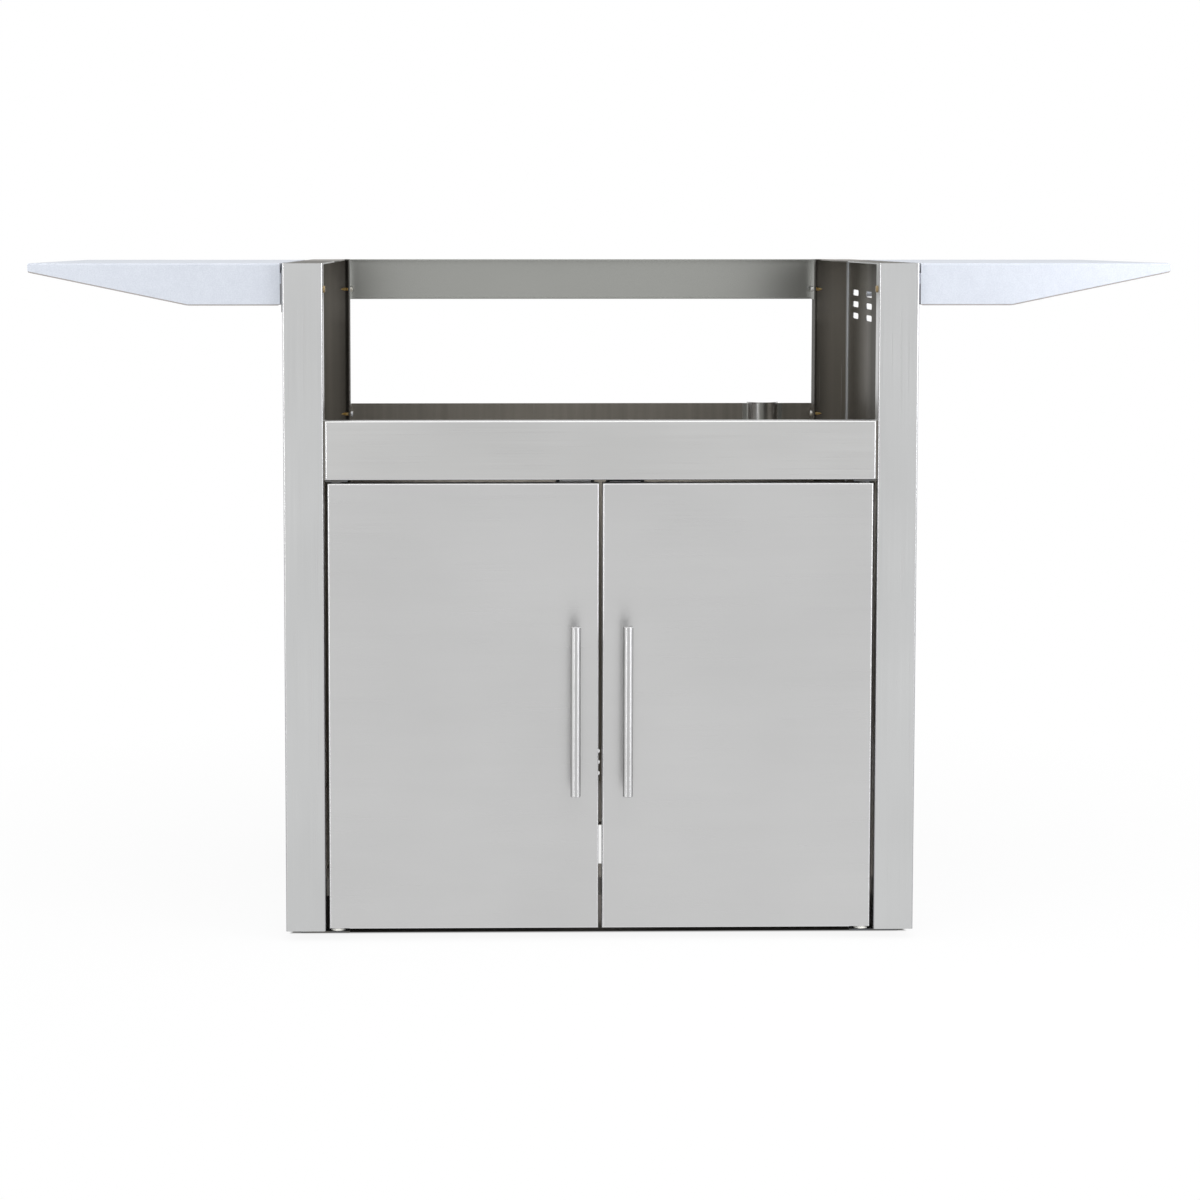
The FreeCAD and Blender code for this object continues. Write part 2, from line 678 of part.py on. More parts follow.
def door_hinges():
    """Pivot plates and pins that stay on the cabinet, and the bushes that turn on them in the door."""
    inner = f"({HINGE_X} - dim.pivot_plate_margin)"
    near = f"({FRONT} + dim.pivot_plate_setback)"
    depth = (near, f"{near} + dim.pivot_plate_width")
    low = (f"{BOTTOM} - dim.pivot_plate", BOTTOM)
    high = (f"{RAIL_LOW} - dim.pivot_plate", RAIL_LOW)
    lower = box("lower_pivot_plate", (inner, f"{OPEN} + dim.pivot_plate_overlap"), depth, low)
    upper = box("upper_pivot_plate", (inner, f"{OPEN} - dim.rail_reveal"), depth, high)
    axis = {"x": HINGE_X, "y": HINGE_Y}
    bores = [rod("pivot_bore", "z", span, "dim.pin_radius", **axis) for span in (low, high)]
    plates = [cut("pivot_plate", plate, bore) for plate, bore in zip((lower, upper), bores)]
    keep_pair(gather("pivot_plates", plates), "pivot_plates")

    radius = "dim.pin_radius"
    nose = "dim.pin_radius - dim.pin_chamfer"

    def pin(name, foot, tip, taper):
        outline = [("0", foot), (radius, foot), (radius, taper), (nose, tip), ("0", tip)]
        return turned(name, "z", outline, **axis)

    lower_tip = f"({DOOR_LOW} + dim.pin_reach)"
    upper_tip = f"({DOOR_HIGH} - dim.pin_reach)"
    pins = [pin("lower_pin", low[0], lower_tip, f"{lower_tip} - dim.pin_chamfer"),
            pin("upper_pin", high[1], upper_tip, f"{upper_tip} + dim.pin_chamfer")]
    keep_pair(gather("hinge_pins", pins), "hinge_pins")

    bore = "dim.pin_radius + dim.pin_play"

    def bush(name, face, seat, end):
        return turned(name, "z", [(bore, face), ("dim.bush_flange_radius", face),
                                  ("dim.bush_flange_radius", seat), ("dim.bush_radius", seat),
                                  ("dim.bush_radius", end), (bore, end)], **axis)

    bushes = [bush("lower_bush", f"{low[1]} + dim.end_play", DOOR_LOW, f"{DOOR_LOW} + dim.bush_length"),
              bush("upper_bush", f"{high[0]} - dim.end_play", DOOR_HIGH, f"{DOOR_HIGH} - dim.bush_length")]
    keep_pair(gather("door_bushes", bushes), "door_bushes")


def handle_post_heights():
    return [f"{HANDLE_Z} + {side} * dim.handle_post_gap / 2" for side in (-1, 1)]


def doors():
    """Folded outer skin with a flat liner set into its back."""
    outer = box("skin_outer", (DOOR_IN, DOOR_OUT), (FRONT, DOOR_BACK), (DOOR_LOW, DOOR_HIGH))
    across = (f"{DOOR_IN} + dim.door_sheet", f"{DOOR_OUT} - dim.door_sheet")
    high = (f"{DOOR_LOW} + dim.door_sheet", f"{DOOR_HIGH} - dim.door_sheet")
    hollow = box("skin_hollow", across, (f"{FRONT} + dim.door_sheet", f"{DOOR_BACK} + dim.door_sheet"), high)
    axis = {"x": HINGE_X, "y": HINGE_Y}
    bush_holes = [rod("bush_hole", "z", (f"{level} - 2 * dim.door_sheet", f"{level} + 2 * dim.door_sheet"),
                      "dim.bush_radius", **axis) for level in (DOOR_LOW, DOOR_HIGH)]
    screw_span = (f"{FRONT} - dim.door_sheet", f"{FRONT} + 2 * dim.door_sheet")
    screw_holes_in_skin = [rod("handle_hole", "y", screw_span, "dim.handle_screw_radius", x=HANDLE_X, z=z)
                           for z in handle_post_heights()]
    tray = cut("skin_tray", outer, hollow)
    skin = cut("skin_drilled", tray, *bush_holes, *screw_holes_in_skin)
    keep_pair(rounded("door_skin", skin, [("bend_radius", lies_at(y=FRONT))]), "door_skin")
    liner = box("door_liner", across, (f"{LINER_BACK} - dim.door_sheet", LINER_BACK), high)
    keep_pair(liner, "door_liner")


def door_catches():
    """Magnetic catches under the front rail and the strike plates that they hold."""
    inner = f"({DOOR_IN} + dim.catch_margin)"
    face = f"({LINER_BACK} + dim.strike_thickness + dim.catch_gap)"
    catch = box("door_catch", (inner, f"{inner} + dim.catch_length"), (face, f"{face} + dim.catch_depth"),
                (f"{RAIL_LOW} - dim.catch_height", RAIL_LOW))
    keep_pair(catch, "door_catch")
    top = f"({DOOR_HIGH} - dim.strike_margin)"
    strike = box("strike_plate",
                 (f"{inner} + dim.strike_margin", f"{inner} + dim.catch_length - dim.strike_margin"),
                 (LINER_BACK, f"{LINER_BACK} + dim.strike_thickness"),
                 (f"{top} - dim.strike_height", top))
    keep_pair(strike, "strike_plate")


def handles():
    """Upright bar on two posts, each held by a screw from inside the door."""
    half = "dim.handle_length / 2"
    bar = rod("handle_rod", "z", (f"{HANDLE_Z} - {half}", f"{HANDLE_Z} + {half}"), "dim.handle_diameter / 2",
              x=HANDLE_X, y=HANDLE_Y)

    def at_end(edge):
        return isinstance(edge.Curve, Part.Circle)

    posts = []
    screws = []
    inside = f"({FRONT} + dim.door_sheet)"
    for z in handle_post_heights():
        place = {"x": HANDLE_X, "z": z}
        thread = (f"{FRONT} - dim.handle_screw_depth", inside)
        stem = rod("post_stem", "y", (HANDLE_Y, FRONT), "dim.handle_post_radius", **place)
        bore = rod("post_bore", "y", thread, "dim.handle_screw_radius", **place)
        posts.append(cut("handle_post", cut("post_saddle", stem, bar), bore))
        head = cone("handle_screw_head", "y", (inside, f"{inside} + dim.handle_screw_head_height"),
                    ("dim.handle_screw_head_radius", "dim.handle_screw_radius"), **place)
        shank = rod("handle_screw_shank", "y", thread, "dim.handle_screw_radius", **place)
        screws.append(fuse("handle_screw", head, shank))
    keep_pair(rounded("handle_bar", bar, [("handle_end_round", at_end)]), "handle_bar")
    keep_pair(gather("handle_posts", posts), "handle_posts")
    keep_pair(gather("handle_screws", screws), "handle_screws")


def shelf_trays():
    """Folded shelf with tapered flanges, an end lip and a short lip beside the cabinet."""
    tip_low = f"({TOP} - dim.shelf_tip)"
    taper_start = f"({SHELF_IN} + dim.shelf_flat)"
    wedge = padded("shelf_wedge", "XZ_Plane",
                   [(SHELF_IN, TOP), (SHELF_IN, SHELF_LOW), (taper_start, SHELF_LOW),
                    (SHELF_OUT, tip_low), (SHELF_OUT, TOP)],
                   "dim.shelf_depth", y=SHELF_REAR)
    profile = rounded("shelf_profile", wedge, [
        ("shelf_corner_radius", lies_at(x=SHELF_IN, z=SHELF_LOW)),
        ("shelf_kink_radius", lies_at(x=taper_start, z=SHELF_LOW)),
        ("shelf_corner_radius", lies_at(x=SHELF_OUT, z=tip_low)),
    ])
    under = f"({TOP} - dim.shelf_sheet)"
    hollow = box("shelf_hollow", (HALF, f"{SHELF_OUT} - dim.shelf_sheet"),
                 (f"{SHELF_FRONT} + dim.shelf_sheet", f"{SHELF_REAR} - dim.shelf_sheet"),
                 (f"{SHELF_LOW} - dim.shelf_sheet", under))
    lip = box("shelf_inner_lip", (SHELF_IN, f"{SHELF_IN} + dim.shelf_sheet"), (SHELF_FRONT, SHELF_REAR),
              (f"{TOP} - dim.shelf_lip", TOP))
    tray = fuse("shelf_folded", cut("shelf_shell", profile, hollow), lip)
    bends = [("bend_radius", lies_at(y=SHELF_FRONT, z=TOP)), ("bend_radius", lies_at(y=SHELF_REAR, z=TOP)),
             ("bend_radius", lies_at(x=SHELF_OUT, z=TOP))]
    keep_pair(rounded("shelf_tray", tray, bends), "shelf_tray")


def shelf_stiffeners():
    """Hat section under each shelf top."""
    under = f"({TOP} - dim.shelf_sheet)"
    middle = f"({SHELF_FRONT} + dim.shelf_depth / 2)"
    foot = f"({under} - dim.shelf_sheet)"
    keel = f"({under} - dim.stiffener_height)"
    base = f"({keel} - dim.shelf_sheet)"
    half = "dim.stiffener_width / 2"
    inner = f"({half} - dim.shelf_sheet)"
    brim = f"({half} + dim.stiffener_flange)"

    def side(sign):
        return [(f"{middle} + {sign} * {across}", up) for across, up in
                ((half, base), (half, foot), (brim, foot), (brim, under), (inner, under), (inner, keel))]

    start = f"({SHELF_IN} + dim.stiffener_start)"
    length = "dim.shelf_length - dim.stiffener_start - dim.stiffener_end"
    outline = side(1) + side(-1)[::-1]
    keep_pair(padded("shelf_stiffener", "YZ_Plane", outline, length, x=start), "shelf_stiffener")


def shelf_pivots():
    """Brackets on the side panel and the studs inside the shelf flanges that turn in their ears."""
    plate_x = (HALF, f"{HALF} + dim.bracket_plate")
    plate_z = (f"{PIVOT_Z} - dim.bracket_below", f"{PIVOT_Z} + dim.bracket_above")
    ear_x = (HALF, f"{PIVOT_X} + dim.ear_margin")
    ear_z = (f"{PIVOT_Z} - dim.ear_below", f"{PIVOT_Z} + dim.ear_above")
    ends = {
        "front": (f"({SHELF_FRONT} + dim.shelf_sheet)", 1),
        "rear": (f"({SHELF_REAR} - dim.shelf_sheet)", -1),
    }
    brackets = []
    studs = []
    for name, (flange, inward) in ends.items():
        def span(near, far):
            places = (f"{flange} + {inward} * ({near})", f"{flange} + {inward} * ({far})")
            return places if inward > 0 else places[::-1]

        ear_end = "dim.ear_gap + dim.bracket_plate"
        plate_end = "dim.ear_gap + dim.bracket_length"
        plate = box(f"bracket_{name}_plate", plate_x, span("dim.ear_gap", plate_end), plate_z)
        ear = box(f"bracket_{name}_ear", ear_x, span("dim.ear_gap", ear_end), ear_z)
        hole = rod(f"bracket_{name}_hole", "y", span("0", f"{ear_end} + dim.stud_end"),
                   "dim.stud_radius + dim.pin_play", x=PIVOT_X, z=PIVOT_Z)
        brackets.append(cut(f"bracket_{name}", fuse(f"bracket_{name}_bent", plate, ear), hole))
        studs.append(rod(f"stud_{name}", "y", span("0", f"{ear_end} + dim.stud_end"), "dim.stud_radius",
                         x=PIVOT_X, z=PIVOT_Z))
    keep_pair(gather("shelf_brackets", brackets), "shelf_brackets")
    keep_pair(gather("shelf_studs", studs), "shelf_studs")


def caster_mounts():
    """Top plates, kingpins, bolts and nuts that hold the casters to the cabinet floor."""
    plate_low = f"({CASTER_TOP} - dim.caster_plate)"
    head_high = f"({CROWN_LOW} - dim.end_play)"
    head_low = f"({head_high} - dim.kingpin_head_height)"
    plates = []
    kingpins = []
    for x, y, _ in caster_places().values():
        blank = box("caster_blank",
                    (f"{x} - dim.caster_plate_length / 2", f"{x} + dim.caster_plate_length / 2"),
                    (f"{y} - dim.caster_plate_width / 2", f"{y} + dim.caster_plate_width / 2"),
                    (plate_low, CASTER_TOP))
        bores = [rod("kingpin_bore", "z", (plate_low, CASTER_TOP), "dim.kingpin_radius", x=x, y=y)]
        bores += [rod("plate_bolt_hole", "z", (plate_low, CASTER_TOP), "dim.caster_bolt_radius",
                      x=bolt_x, y=bolt_y) for bolt_x, bolt_y in bolts_round(x, y)]
        plates.append(cut("caster_plate_cut", blank, *bores))
        head = rod("kingpin_head", "z", (head_low, head_high), "dim.kingpin_head_radius", x=x, y=y)
        shank = rod("kingpin_shank", "z", (head_high, CASTER_TOP), "dim.kingpin_radius", x=x, y=y)
        kingpins.append(fuse("kingpin", head, shank))
    keep_group(plates, "caster_plates")
    keep_group(kingpins, "caster_kingpins")

    bolts = []
    nuts = []
    nut_low = f"({plate_low} - dim.caster_nut_height)"
    for x, y in caster_bolt_places():
        head = hexagon("bolt_head", (FLOOR, f"{FLOOR} + dim.caster_bolt_head_height"), x=x, y=y)
        shank = rod("bolt_shank", "z", (f"{nut_low} - dim.caster_bolt_end", FLOOR),
                    "dim.caster_bolt_radius", x=x, y=y)
        bolts.append(fuse("caster_bolt", head, shank))
        blank = hexagon("nut_blank", (nut_low, plate_low), x=x, y=y)
        thread = rod("nut_thread", "z", (nut_low, plate_low), "dim.caster_bolt_radius", x=x, y=y)
        nuts.append(cut("caster_nut", blank, thread))
    keep_group(bolts, "caster_bolts")
    keep_group(nuts, "caster_nuts")


def caster(corner, x, y, trail):
    """Swivelling fork with its axle, hub and tyre."""
    axle_y = f"({y} + {trail} * dim.caster_lead)"
    axle_z = "(dim.wheel_diameter / 2)"
    inner = "(dim.hub_width / 2 + dim.fork_gap)"
    outer = f"({inner} + dim.fork_sheet)"

    crown = rod(f"crown_{corner}", "z", (CROWN_LOW, CROWN_HIGH), "dim.crown_radius", x=x, y=y)
    legs = padded(f"legs_{corner}", "YZ_Plane",
                  [(f"{y} - dim.fork_top_width / 2", f"{CROWN_LOW} + dim.crown_height / 2"),
                   (f"{y} + dim.fork_top_width / 2", f"{CROWN_LOW} + dim.crown_height / 2"),
                   (f"{axle_y} + dim.fork_eye_radius", axle_z), (f"{axle_y} - dim.fork_eye_radius", axle_z)],
                  f"2 * {outer}", x=f"{x} - {outer}")
    width = (f"{x} - {outer}", f"{x} + {outer}")
    eye = rod(f"eye_{corner}", "x", width, "dim.fork_eye_radius", y=axle_y, z=axle_z)
    gap = box(f"fork_gap_{corner}", (f"{x} - {inner}", f"{x} + {inner}"),
              (f"{y} - dim.wheel_diameter - dim.caster_lead", f"{y} + dim.wheel_diameter + dim.caster_lead"),
              ("0", CROWN_LOW))
    kingpin = rod(f"fork_bore_{corner}", "z", (CROWN_LOW, CROWN_HIGH),
                  "dim.kingpin_radius + dim.kingpin_play", x=x, y=y)
    axle_bore = rod(f"axle_bore_{corner}", "x", width, "dim.axle_radius", y=axle_y, z=axle_z)
    fork = cut(f"fork_{corner}", fuse(f"fork_whole_{corner}", crown, legs, eye), gap, kingpin, axle_bore)
    keep_pair(fork, f"caster_fork_{corner}")

    pin = rod(f"axle_pin_{corner}", "x", width, "dim.axle_radius", y=axle_y, z=axle_z)
    heads = [rod(f"axle_head_{corner}", "x", span, "dim.axle_head_radius", y=axle_y, z=axle_z)
             for span in ((width[1], f"{width[1]} + dim.axle_head_height"),
                          (f"{width[0]} - dim.axle_head_height", width[0]))]
    keep_pair(fuse(f"axle_{corner}", pin, *heads), f"caster_axle_{corner}")

    bore = "dim.axle_radius + dim.axle_play"
    side = "dim.hub_width / 2"
    rim = "dim.tyre_width / 2"
    web = "dim.hub_web / 2"
    boss = "dim.hub_boss_radius"
    bed = "dim.hub_radius - dim.hub_rim"

    def half(sign):
        return [(f"{sign} * {across}", up) for across, up in
                ((side, bore), (side, boss), (web, boss), (web, bed), (rim, bed), (rim, "dim.hub_radius"))]

    hub = turned(f"hub_{corner}", "x", half(1) + half(-1)[::-1], x=x, y=axle_y, z=axle_z)
    keep_pair(hub, f"wheel_hub_{corner}")

    tread = (f"{x} - {rim}", f"{x} + {rim}")
    band = rod(f"tyre_band_{corner}", "x", tread, axle_z, y=axle_y, z=axle_z)
    seat = rod(f"tyre_seat_{corner}", "x", tread, "dim.hub_radius", y=axle_y, z=axle_z)
    radius = value(axle_z)

    def on_tread(edge):
        return isinstance(edge.Curve, Part.Circle) and abs(edge.Curve.Radius - radius) < NEAR

    tyre = rounded(f"tyre_{corner}", cut(f"tyre_ring_{corner}", band, seat), [("tyre_round", on_tread)])
    keep_pair(tyre, f"wheel_tyre_{corner}")


side_panels()
front_rail()
upper_rear_rail()
back_panel()
bay_floor()
cabinet_floor()
hose_guide()
panel_screws()
floor_rivets()
door_hinges()
doors()
door_catches()
handles()
shelf_trays()
shelf_stiffeners()
shelf_pivots()
caster_mounts()
for corner, (x, y, trail) in caster_places().items():
    caster(corner, x, y, trail)

doc.recompute()
for thing in doc.Objects:
    if "Invalid" in thing.State or "Error" in thing.State:
        raise RuntimeError(f"{thing.Label} did not compute")
for piece in nodes:
    shape = piece.Shape
    if shape.isNull() or not shape.isValid() or not shape.Solids:
        raise RuntimeError(f"{piece.Label} has no sound solid")
    shape.exportStep(f"parts/{piece.Label}.step")
print(f"{len(nodes)} nodes written")
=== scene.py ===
import math

import bmesh
import bpy
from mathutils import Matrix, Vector


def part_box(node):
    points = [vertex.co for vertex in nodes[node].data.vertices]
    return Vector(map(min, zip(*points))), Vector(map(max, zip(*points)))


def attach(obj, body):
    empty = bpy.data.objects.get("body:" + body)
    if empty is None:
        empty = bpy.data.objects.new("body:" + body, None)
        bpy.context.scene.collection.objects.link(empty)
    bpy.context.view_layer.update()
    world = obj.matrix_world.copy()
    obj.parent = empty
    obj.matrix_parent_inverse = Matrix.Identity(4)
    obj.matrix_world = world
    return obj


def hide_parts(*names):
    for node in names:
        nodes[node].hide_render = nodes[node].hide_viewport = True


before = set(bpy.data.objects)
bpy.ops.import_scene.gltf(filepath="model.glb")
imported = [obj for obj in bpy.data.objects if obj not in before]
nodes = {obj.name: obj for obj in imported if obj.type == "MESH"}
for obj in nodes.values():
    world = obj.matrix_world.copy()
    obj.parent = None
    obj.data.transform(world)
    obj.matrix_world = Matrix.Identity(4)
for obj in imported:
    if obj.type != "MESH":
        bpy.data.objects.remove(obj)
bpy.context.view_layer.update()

SIDES = ("left", "right")
MM = 0.001

# Places of the sheet-metal faces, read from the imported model, in metres.
CABINET_LOW, CABINET_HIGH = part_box("side_panel_right")
HALF_WIDTH = CABINET_HIGH.x
FRONT_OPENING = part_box("front_rail")[1].x
REAR_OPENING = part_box("upper_rear_rail")[1].x
FRONT_FACE = CABINET_LOW.y
REAR_FACE = CABINET_HIGH.y

# A finish changes this far below a sheet's face, about half its thickness.
SKIN = 0.8 * MM
SHEET = 1.5 * MM
RAIL_REVEAL = 2 * MM


# Node building blocks

# Ranges that hold nearly all, and the larger part, of a noise texture's values.
NOISE_SPREAD = (0.3, 0.7)
NOISE_CORE = (0.35, 0.65)


def new_finish(name):
    """A new node material, with its tree and its shader."""
    finish = bpy.data.materials.new(name)
    finish.use_nodes = True
    return finish, finish.node_tree, finish.node_tree.nodes["Principled BSDF"]


def feed(tree, socket, value):
    """Types a number or colour into a socket, or links another socket to it."""
    if isinstance(value, bpy.types.NodeSocket):
        tree.links.new(value, socket)
    else:
        socket.default_value = value


def object_place(tree, stretch=(1, 1, 1), turn=(0, 0, 0)):
    """The piece's own coordinates in metres, stretched and turned."""
    coordinates = tree.nodes.new("ShaderNodeTexCoord")
    mapping = tree.nodes.new("ShaderNodeMapping")
    mapping.inputs["Scale"].default_value = stretch
    mapping.inputs["Rotation"].default_value = turn
    tree.links.new(coordinates.outputs["Object"], mapping.inputs["Vector"])
    return mapping.outputs["Vector"]


def axes(tree, vector):
    """The three parts of a vector."""
    node = tree.nodes.new("ShaderNodeSeparateXYZ")
    tree.links.new(vector, node.inputs[0])
    return node.outputs


def facing(tree):
    """The three parts of the direction that a face looks in."""
    coordinates = tree.nodes.new("ShaderNodeTexCoord")
    return axes(tree, coordinates.outputs["Normal"])


def noise(tree, place, scale, detail=2.0):
    """Soft random values from nought to one, this many to the metre."""
    texture = tree.nodes.new("ShaderNodeTexNoise")
    tree.links.new(place, texture.inputs["Vector"])
    texture.inputs["Scale"].default_value = scale
    texture.inputs["Detail"].default_value = detail
    return texture.outputs["Fac"]


def math_node(tree, operation, first, second=0.0):
    """One sum on one or two values."""
    node = tree.nodes.new("ShaderNodeMath")
    node.operation = operation
    feed(tree, node.inputs[0], first)
    feed(tree, node.inputs[1], second)
    return node.outputs[0]


def weighted_sum(tree, *parts):
    """Adds up values, each with its weight."""
    total = 0.0
    for value, weight in parts:
        total = math_node(tree, "ADD", math_node(tree, "MULTIPLY", value, weight), total)
    return total


def remap(tree, value, source, target=(0.0, 1.0)):
    """Moves a value from one range to another and holds it there."""
    node = tree.nodes.new("ShaderNodeMapRange")
    tree.links.new(value, node.inputs["Value"])
    node.inputs["From Min"].default_value, node.inputs["From Max"].default_value = source
    node.inputs["To Min"].default_value, node.inputs["To Max"].default_value = target
    return node.outputs["Result"]


def between(tree, value, low, high):
    """One where a value lies between two others."""
    above = math_node(tree, "GREATER_THAN", value, low)
    below = math_node(tree, "LESS_THAN", value, high)
    return math_node(tree, "MULTIPLY", above, below)


def rgba(colour):
    """A colour with full cover; a socket stays as it is."""
    if isinstance(colour, tuple) and len(colour) == 3:
        return (*colour, 1.0)
    return colour


def mix_colours(tree, amount, first, second):
    """Goes from one colour to another."""
    node = tree.nodes.new("ShaderNodeMix")
    node.data_type = "RGBA"
    feed(tree, node.inputs["Factor"], amount)
    feed(tree, node.inputs["A"], rgba(first))
    feed(tree, node.inputs["B"], rgba(second))
    return node.outputs["Result"]


def mix_values(tree, amount, first, second):
    """Goes from one value to another."""
    node = tree.nodes.new("ShaderNodeMix")
    feed(tree, node.inputs["Factor"], amount)
    feed(tree, node.inputs["A"], first)
    feed(tree, node.inputs["B"], second)
    return node.outputs["Result"]


def shade(colour, amount):
    """A colour made lighter or darker by a factor."""
    return tuple(part * amount for part in colour)


def relief(tree, shader, height, depth, strength):
    """Bump of a depth in metres on a shader."""
    bump = tree.nodes.new("ShaderNodeBump")
    bump.inputs["Strength"].default_value = strength
    bump.inputs["Distance"].default_value = depth
    tree.links.new(height, bump.inputs["Height"])
    tree.links.new(bump.outputs["Normal"], shader.inputs["Normal"])


def surface(tree, shader, colour, rough, metal):
    """Links a colour and a roughness to a shader, and sets how much of it is metal."""
    tree.links.new(colour, shader.inputs["Base Color"])
    tree.links.new(rough, shader.inputs["Roughness"])
    shader.inputs["Metallic"].default_value = metal


# Brushed and unpolished sheet

# Stretch of the grain, in lines to the metre, by the axis that it runs along.
GRAIN_ALONG = {
    "x": (5.0, 900.0, 900.0),
    "z": (900.0, 900.0, 5.0),
}
GRAIN_DETAIL = 3.0
GRAIN_DEPTH = 0.04 * MM
SMEAR_STRETCH = 0.3
SHEET_LIGHT = (0.60, 1.15)
# Colour of the highlight painted along bends, its roughness, and how much of it the inner faces keep.
PAINTED_BEND_HIGHLIGHT = (0.65, 0.65, 0.66)
BEND_ROUGHNESS = 0.24
INNER_BEND_SHARE = 0.35

# Largest part of a normal on a flat face and within a bend, and its upward part on bends that look up.
FLAT_TO_BENT = (0.985, 0.90)
LEVEL_TO_UPWARD = (0.1, 0.5)


def bend_highlight_mask(tree):
    """One where a sheet is bent round an upright line, nought on flat faces and where a bend looks up:
    where a highlight is painted.
    """
    parts = facing(tree)
    sizes = [math_node(tree, "ABSOLUTE", part) for part in parts]
    flatness = math_node(tree, "MAXIMUM", math_node(tree, "MAXIMUM", sizes[0], sizes[1]), sizes[2])
    bent = remap(tree, flatness, FLAT_TO_BENT)
    return math_node(tree, "MULTIPLY", bent, remap(tree, parts[2], LEVEL_TO_UPWARD, (1.0, 0.0)))


def brushed_steel(name, tone, grain, roughness=0.32, clouding=0.05, inside=None, depth=0.25,
                  bend=PAINTED_BEND_HIGHLIGHT):
    """Brushed stainless sheet: fine grain one way, soft clouds, a painted highlight along its bends, its
    own finish inside.
    """
    finish, tree, shader = new_finish(name)
    grain_lines = noise(tree, object_place(tree, GRAIN_ALONG[grain]), 1.0, GRAIN_DETAIL)
    clouds = noise(tree, object_place(tree), 4.5)
    smear_stretch = tuple(part ** SMEAR_STRETCH for part in GRAIN_ALONG[grain])
    smears = noise(tree, object_place(tree, smear_stretch), 4.0, GRAIN_DETAIL)
    light = weighted_sum(tree, (grain_lines, 0.35), (clouds, 1.0), (smears, 0.4))
    light = remap(tree, light, SHEET_LIGHT)
    colour = mix_colours(tree, light, shade(tone, 1 - clouding), shade(tone, 1 + clouding))
    rough = remap(tree, grain_lines, NOISE_SPREAD, (roughness - depth / 5, roughness + depth / 5))
    bends = bend_highlight_mask(tree)
    if inside:
        mask, inner_colour, inner_rough = inside(tree)
        colour = mix_colours(tree, mask, colour, inner_colour)
        rough = mix_values(tree, mask, rough, inner_rough)
        kept_bends = remap(tree, mask, (0.0, 1.0), (1.0, INNER_BEND_SHARE))
        bends = math_node(tree, "MULTIPLY", bends, kept_bends)
    # Painted highlight along the bends.
    colour = mix_colours(tree, bends, colour, bend)
    rough = mix_values(tree, bends, rough, BEND_ROUGHNESS)
    surface(tree, shader, colour, rough, 1.0)
    relief(tree, shader, grain_lines, GRAIN_DEPTH, depth)
    return finish


# Forward part of the normal on a folded edge and on a face.
EDGE_TO_FACE = (0.15, 0.45)


def paint_edge_light(finish, tone):
    """Gives a sheet's folded edges, which don't look forwards or back, a set tone and less metal: painted
    light and shade that sets how bright the edges and the gaps beside them show.
    """
    tree = finish.node_tree
    shader = tree.nodes["Principled BSDF"]
    ahead = math_node(tree, "ABSOLUTE", facing(tree)[1])
    brushed = shader.inputs["Base Color"].links[0].from_socket
    edges = remap(tree, ahead, EDGE_TO_FACE, (0.85, 0.0))
    tree.links.new(mix_colours(tree, edges, brushed, tone), shader.inputs["Base Color"])
    tree.links.new(remap(tree, ahead, EDGE_TO_FACE, (0.35, 1.0)), shader.inputs["Metallic"])


QUARTER_TURN = 0.25


def draw_out(finish, amount):
    """Draws reflections out along upright lines, as grain that runs across a sheet or round a bar does."""
    tree = finish.node_tree
    shader = tree.nodes["Principled BSDF"]
    shader.inputs["Anisotropic"].default_value = amount
    shader.inputs["Anisotropic Rotation"].default_value = QUARTER_TURN
    tangent = tree.nodes.new("ShaderNodeTangent")
    tangent.direction_type = "RADIAL"
    tangent.axis = "Z"
    tree.links.new(tangent.outputs["Tangent"], shader.inputs["Tangent"])


# Brown grey of unpolished sheet, painted darker than the sheet is to stand in for the shade inside the
# cart.
MILL_AND_SHADE_TONE = (0.245, 0.23, 0.205)
ROLLER_STREAKS = (95.0, 95.0, 1.6)
SCRATCH_STRETCH = (620.0, 620.0, 9.0)
SCRATCH_TURN = (0.32, 0.0, 0.2)
SCRATCH_TONE = (0.42, 0.41, 0.38)


def mill_finish_and_shade(tree):
    """Colour and roughness of unpolished sheet: a brown grey painted dark as the shade inside the cart,
    with upright roller streaks and scratches.
    """
    streaks = noise(tree, object_place(tree, ROLLER_STREAKS), 1.0, 4.0)
    blotches = noise(tree, object_place(tree), 5.0)
    light = remap(tree, weighted_sum(tree, (streaks, 0.5), (blotches, 0.5)), (0.32, 0.68))
    colour = mix_colours(tree, light, shade(MILL_AND_SHADE_TONE, 0.86), shade(MILL_AND_SHADE_TONE, 1.14))
    scratches = noise(tree, object_place(tree, SCRATCH_STRETCH, SCRATCH_TURN), 1.0, 0.0)
    scratches = remap(tree, scratches, (0.78, 0.84), (0.0, 0.5))
    colour = mix_colours(tree, scratches, colour, SCRATCH_TONE)
    rough = remap(tree, streaks, NOISE_SPREAD, (0.32, 0.42))
    return colour, rough


# The side panel's inner faces, in metres: the change from front to rear returns, the painted highlight on
# the seam in the rear corner, and the parts with painted shade, ahead and beside the rear return.
MIDWAY = (-10 * MM, 10 * MM)
SEAM_REACH = 5 * MM
SEAM_WIDTH = 2 * MM
SEAM_HIGHLIGHT_TONE = (0.62, 0.64, 0.66)
SHADE_AHEAD = (90 * MM, 150 * MM)
SHADE_BESIDE = (13 * MM, 28 * MM)
SHADE_FOLD = (6 * MM, 9 * MM)
REAR_POST_REACH = 60 * MM
PAINTED_SHADE_TONE = shade(MILL_AND_SHADE_TONE, 0.3)
DULL_ROUGHNESS = 0.62


def rear_seam_highlight(tree, out, along):
    """One along the bend in the side panel's rear corner, where a highlight is painted."""
    side_start = HALF_WIDTH - SEAM_REACH
    rear_start = REAR_FACE - SEAM_REACH
    at_side = remap(tree, out, (side_start, side_start + SEAM_WIDTH))
    at_rear = remap(tree, along, (rear_start, rear_start + SEAM_WIDTH))
    return math_node(tree, "MULTIPLY", at_side, at_rear)


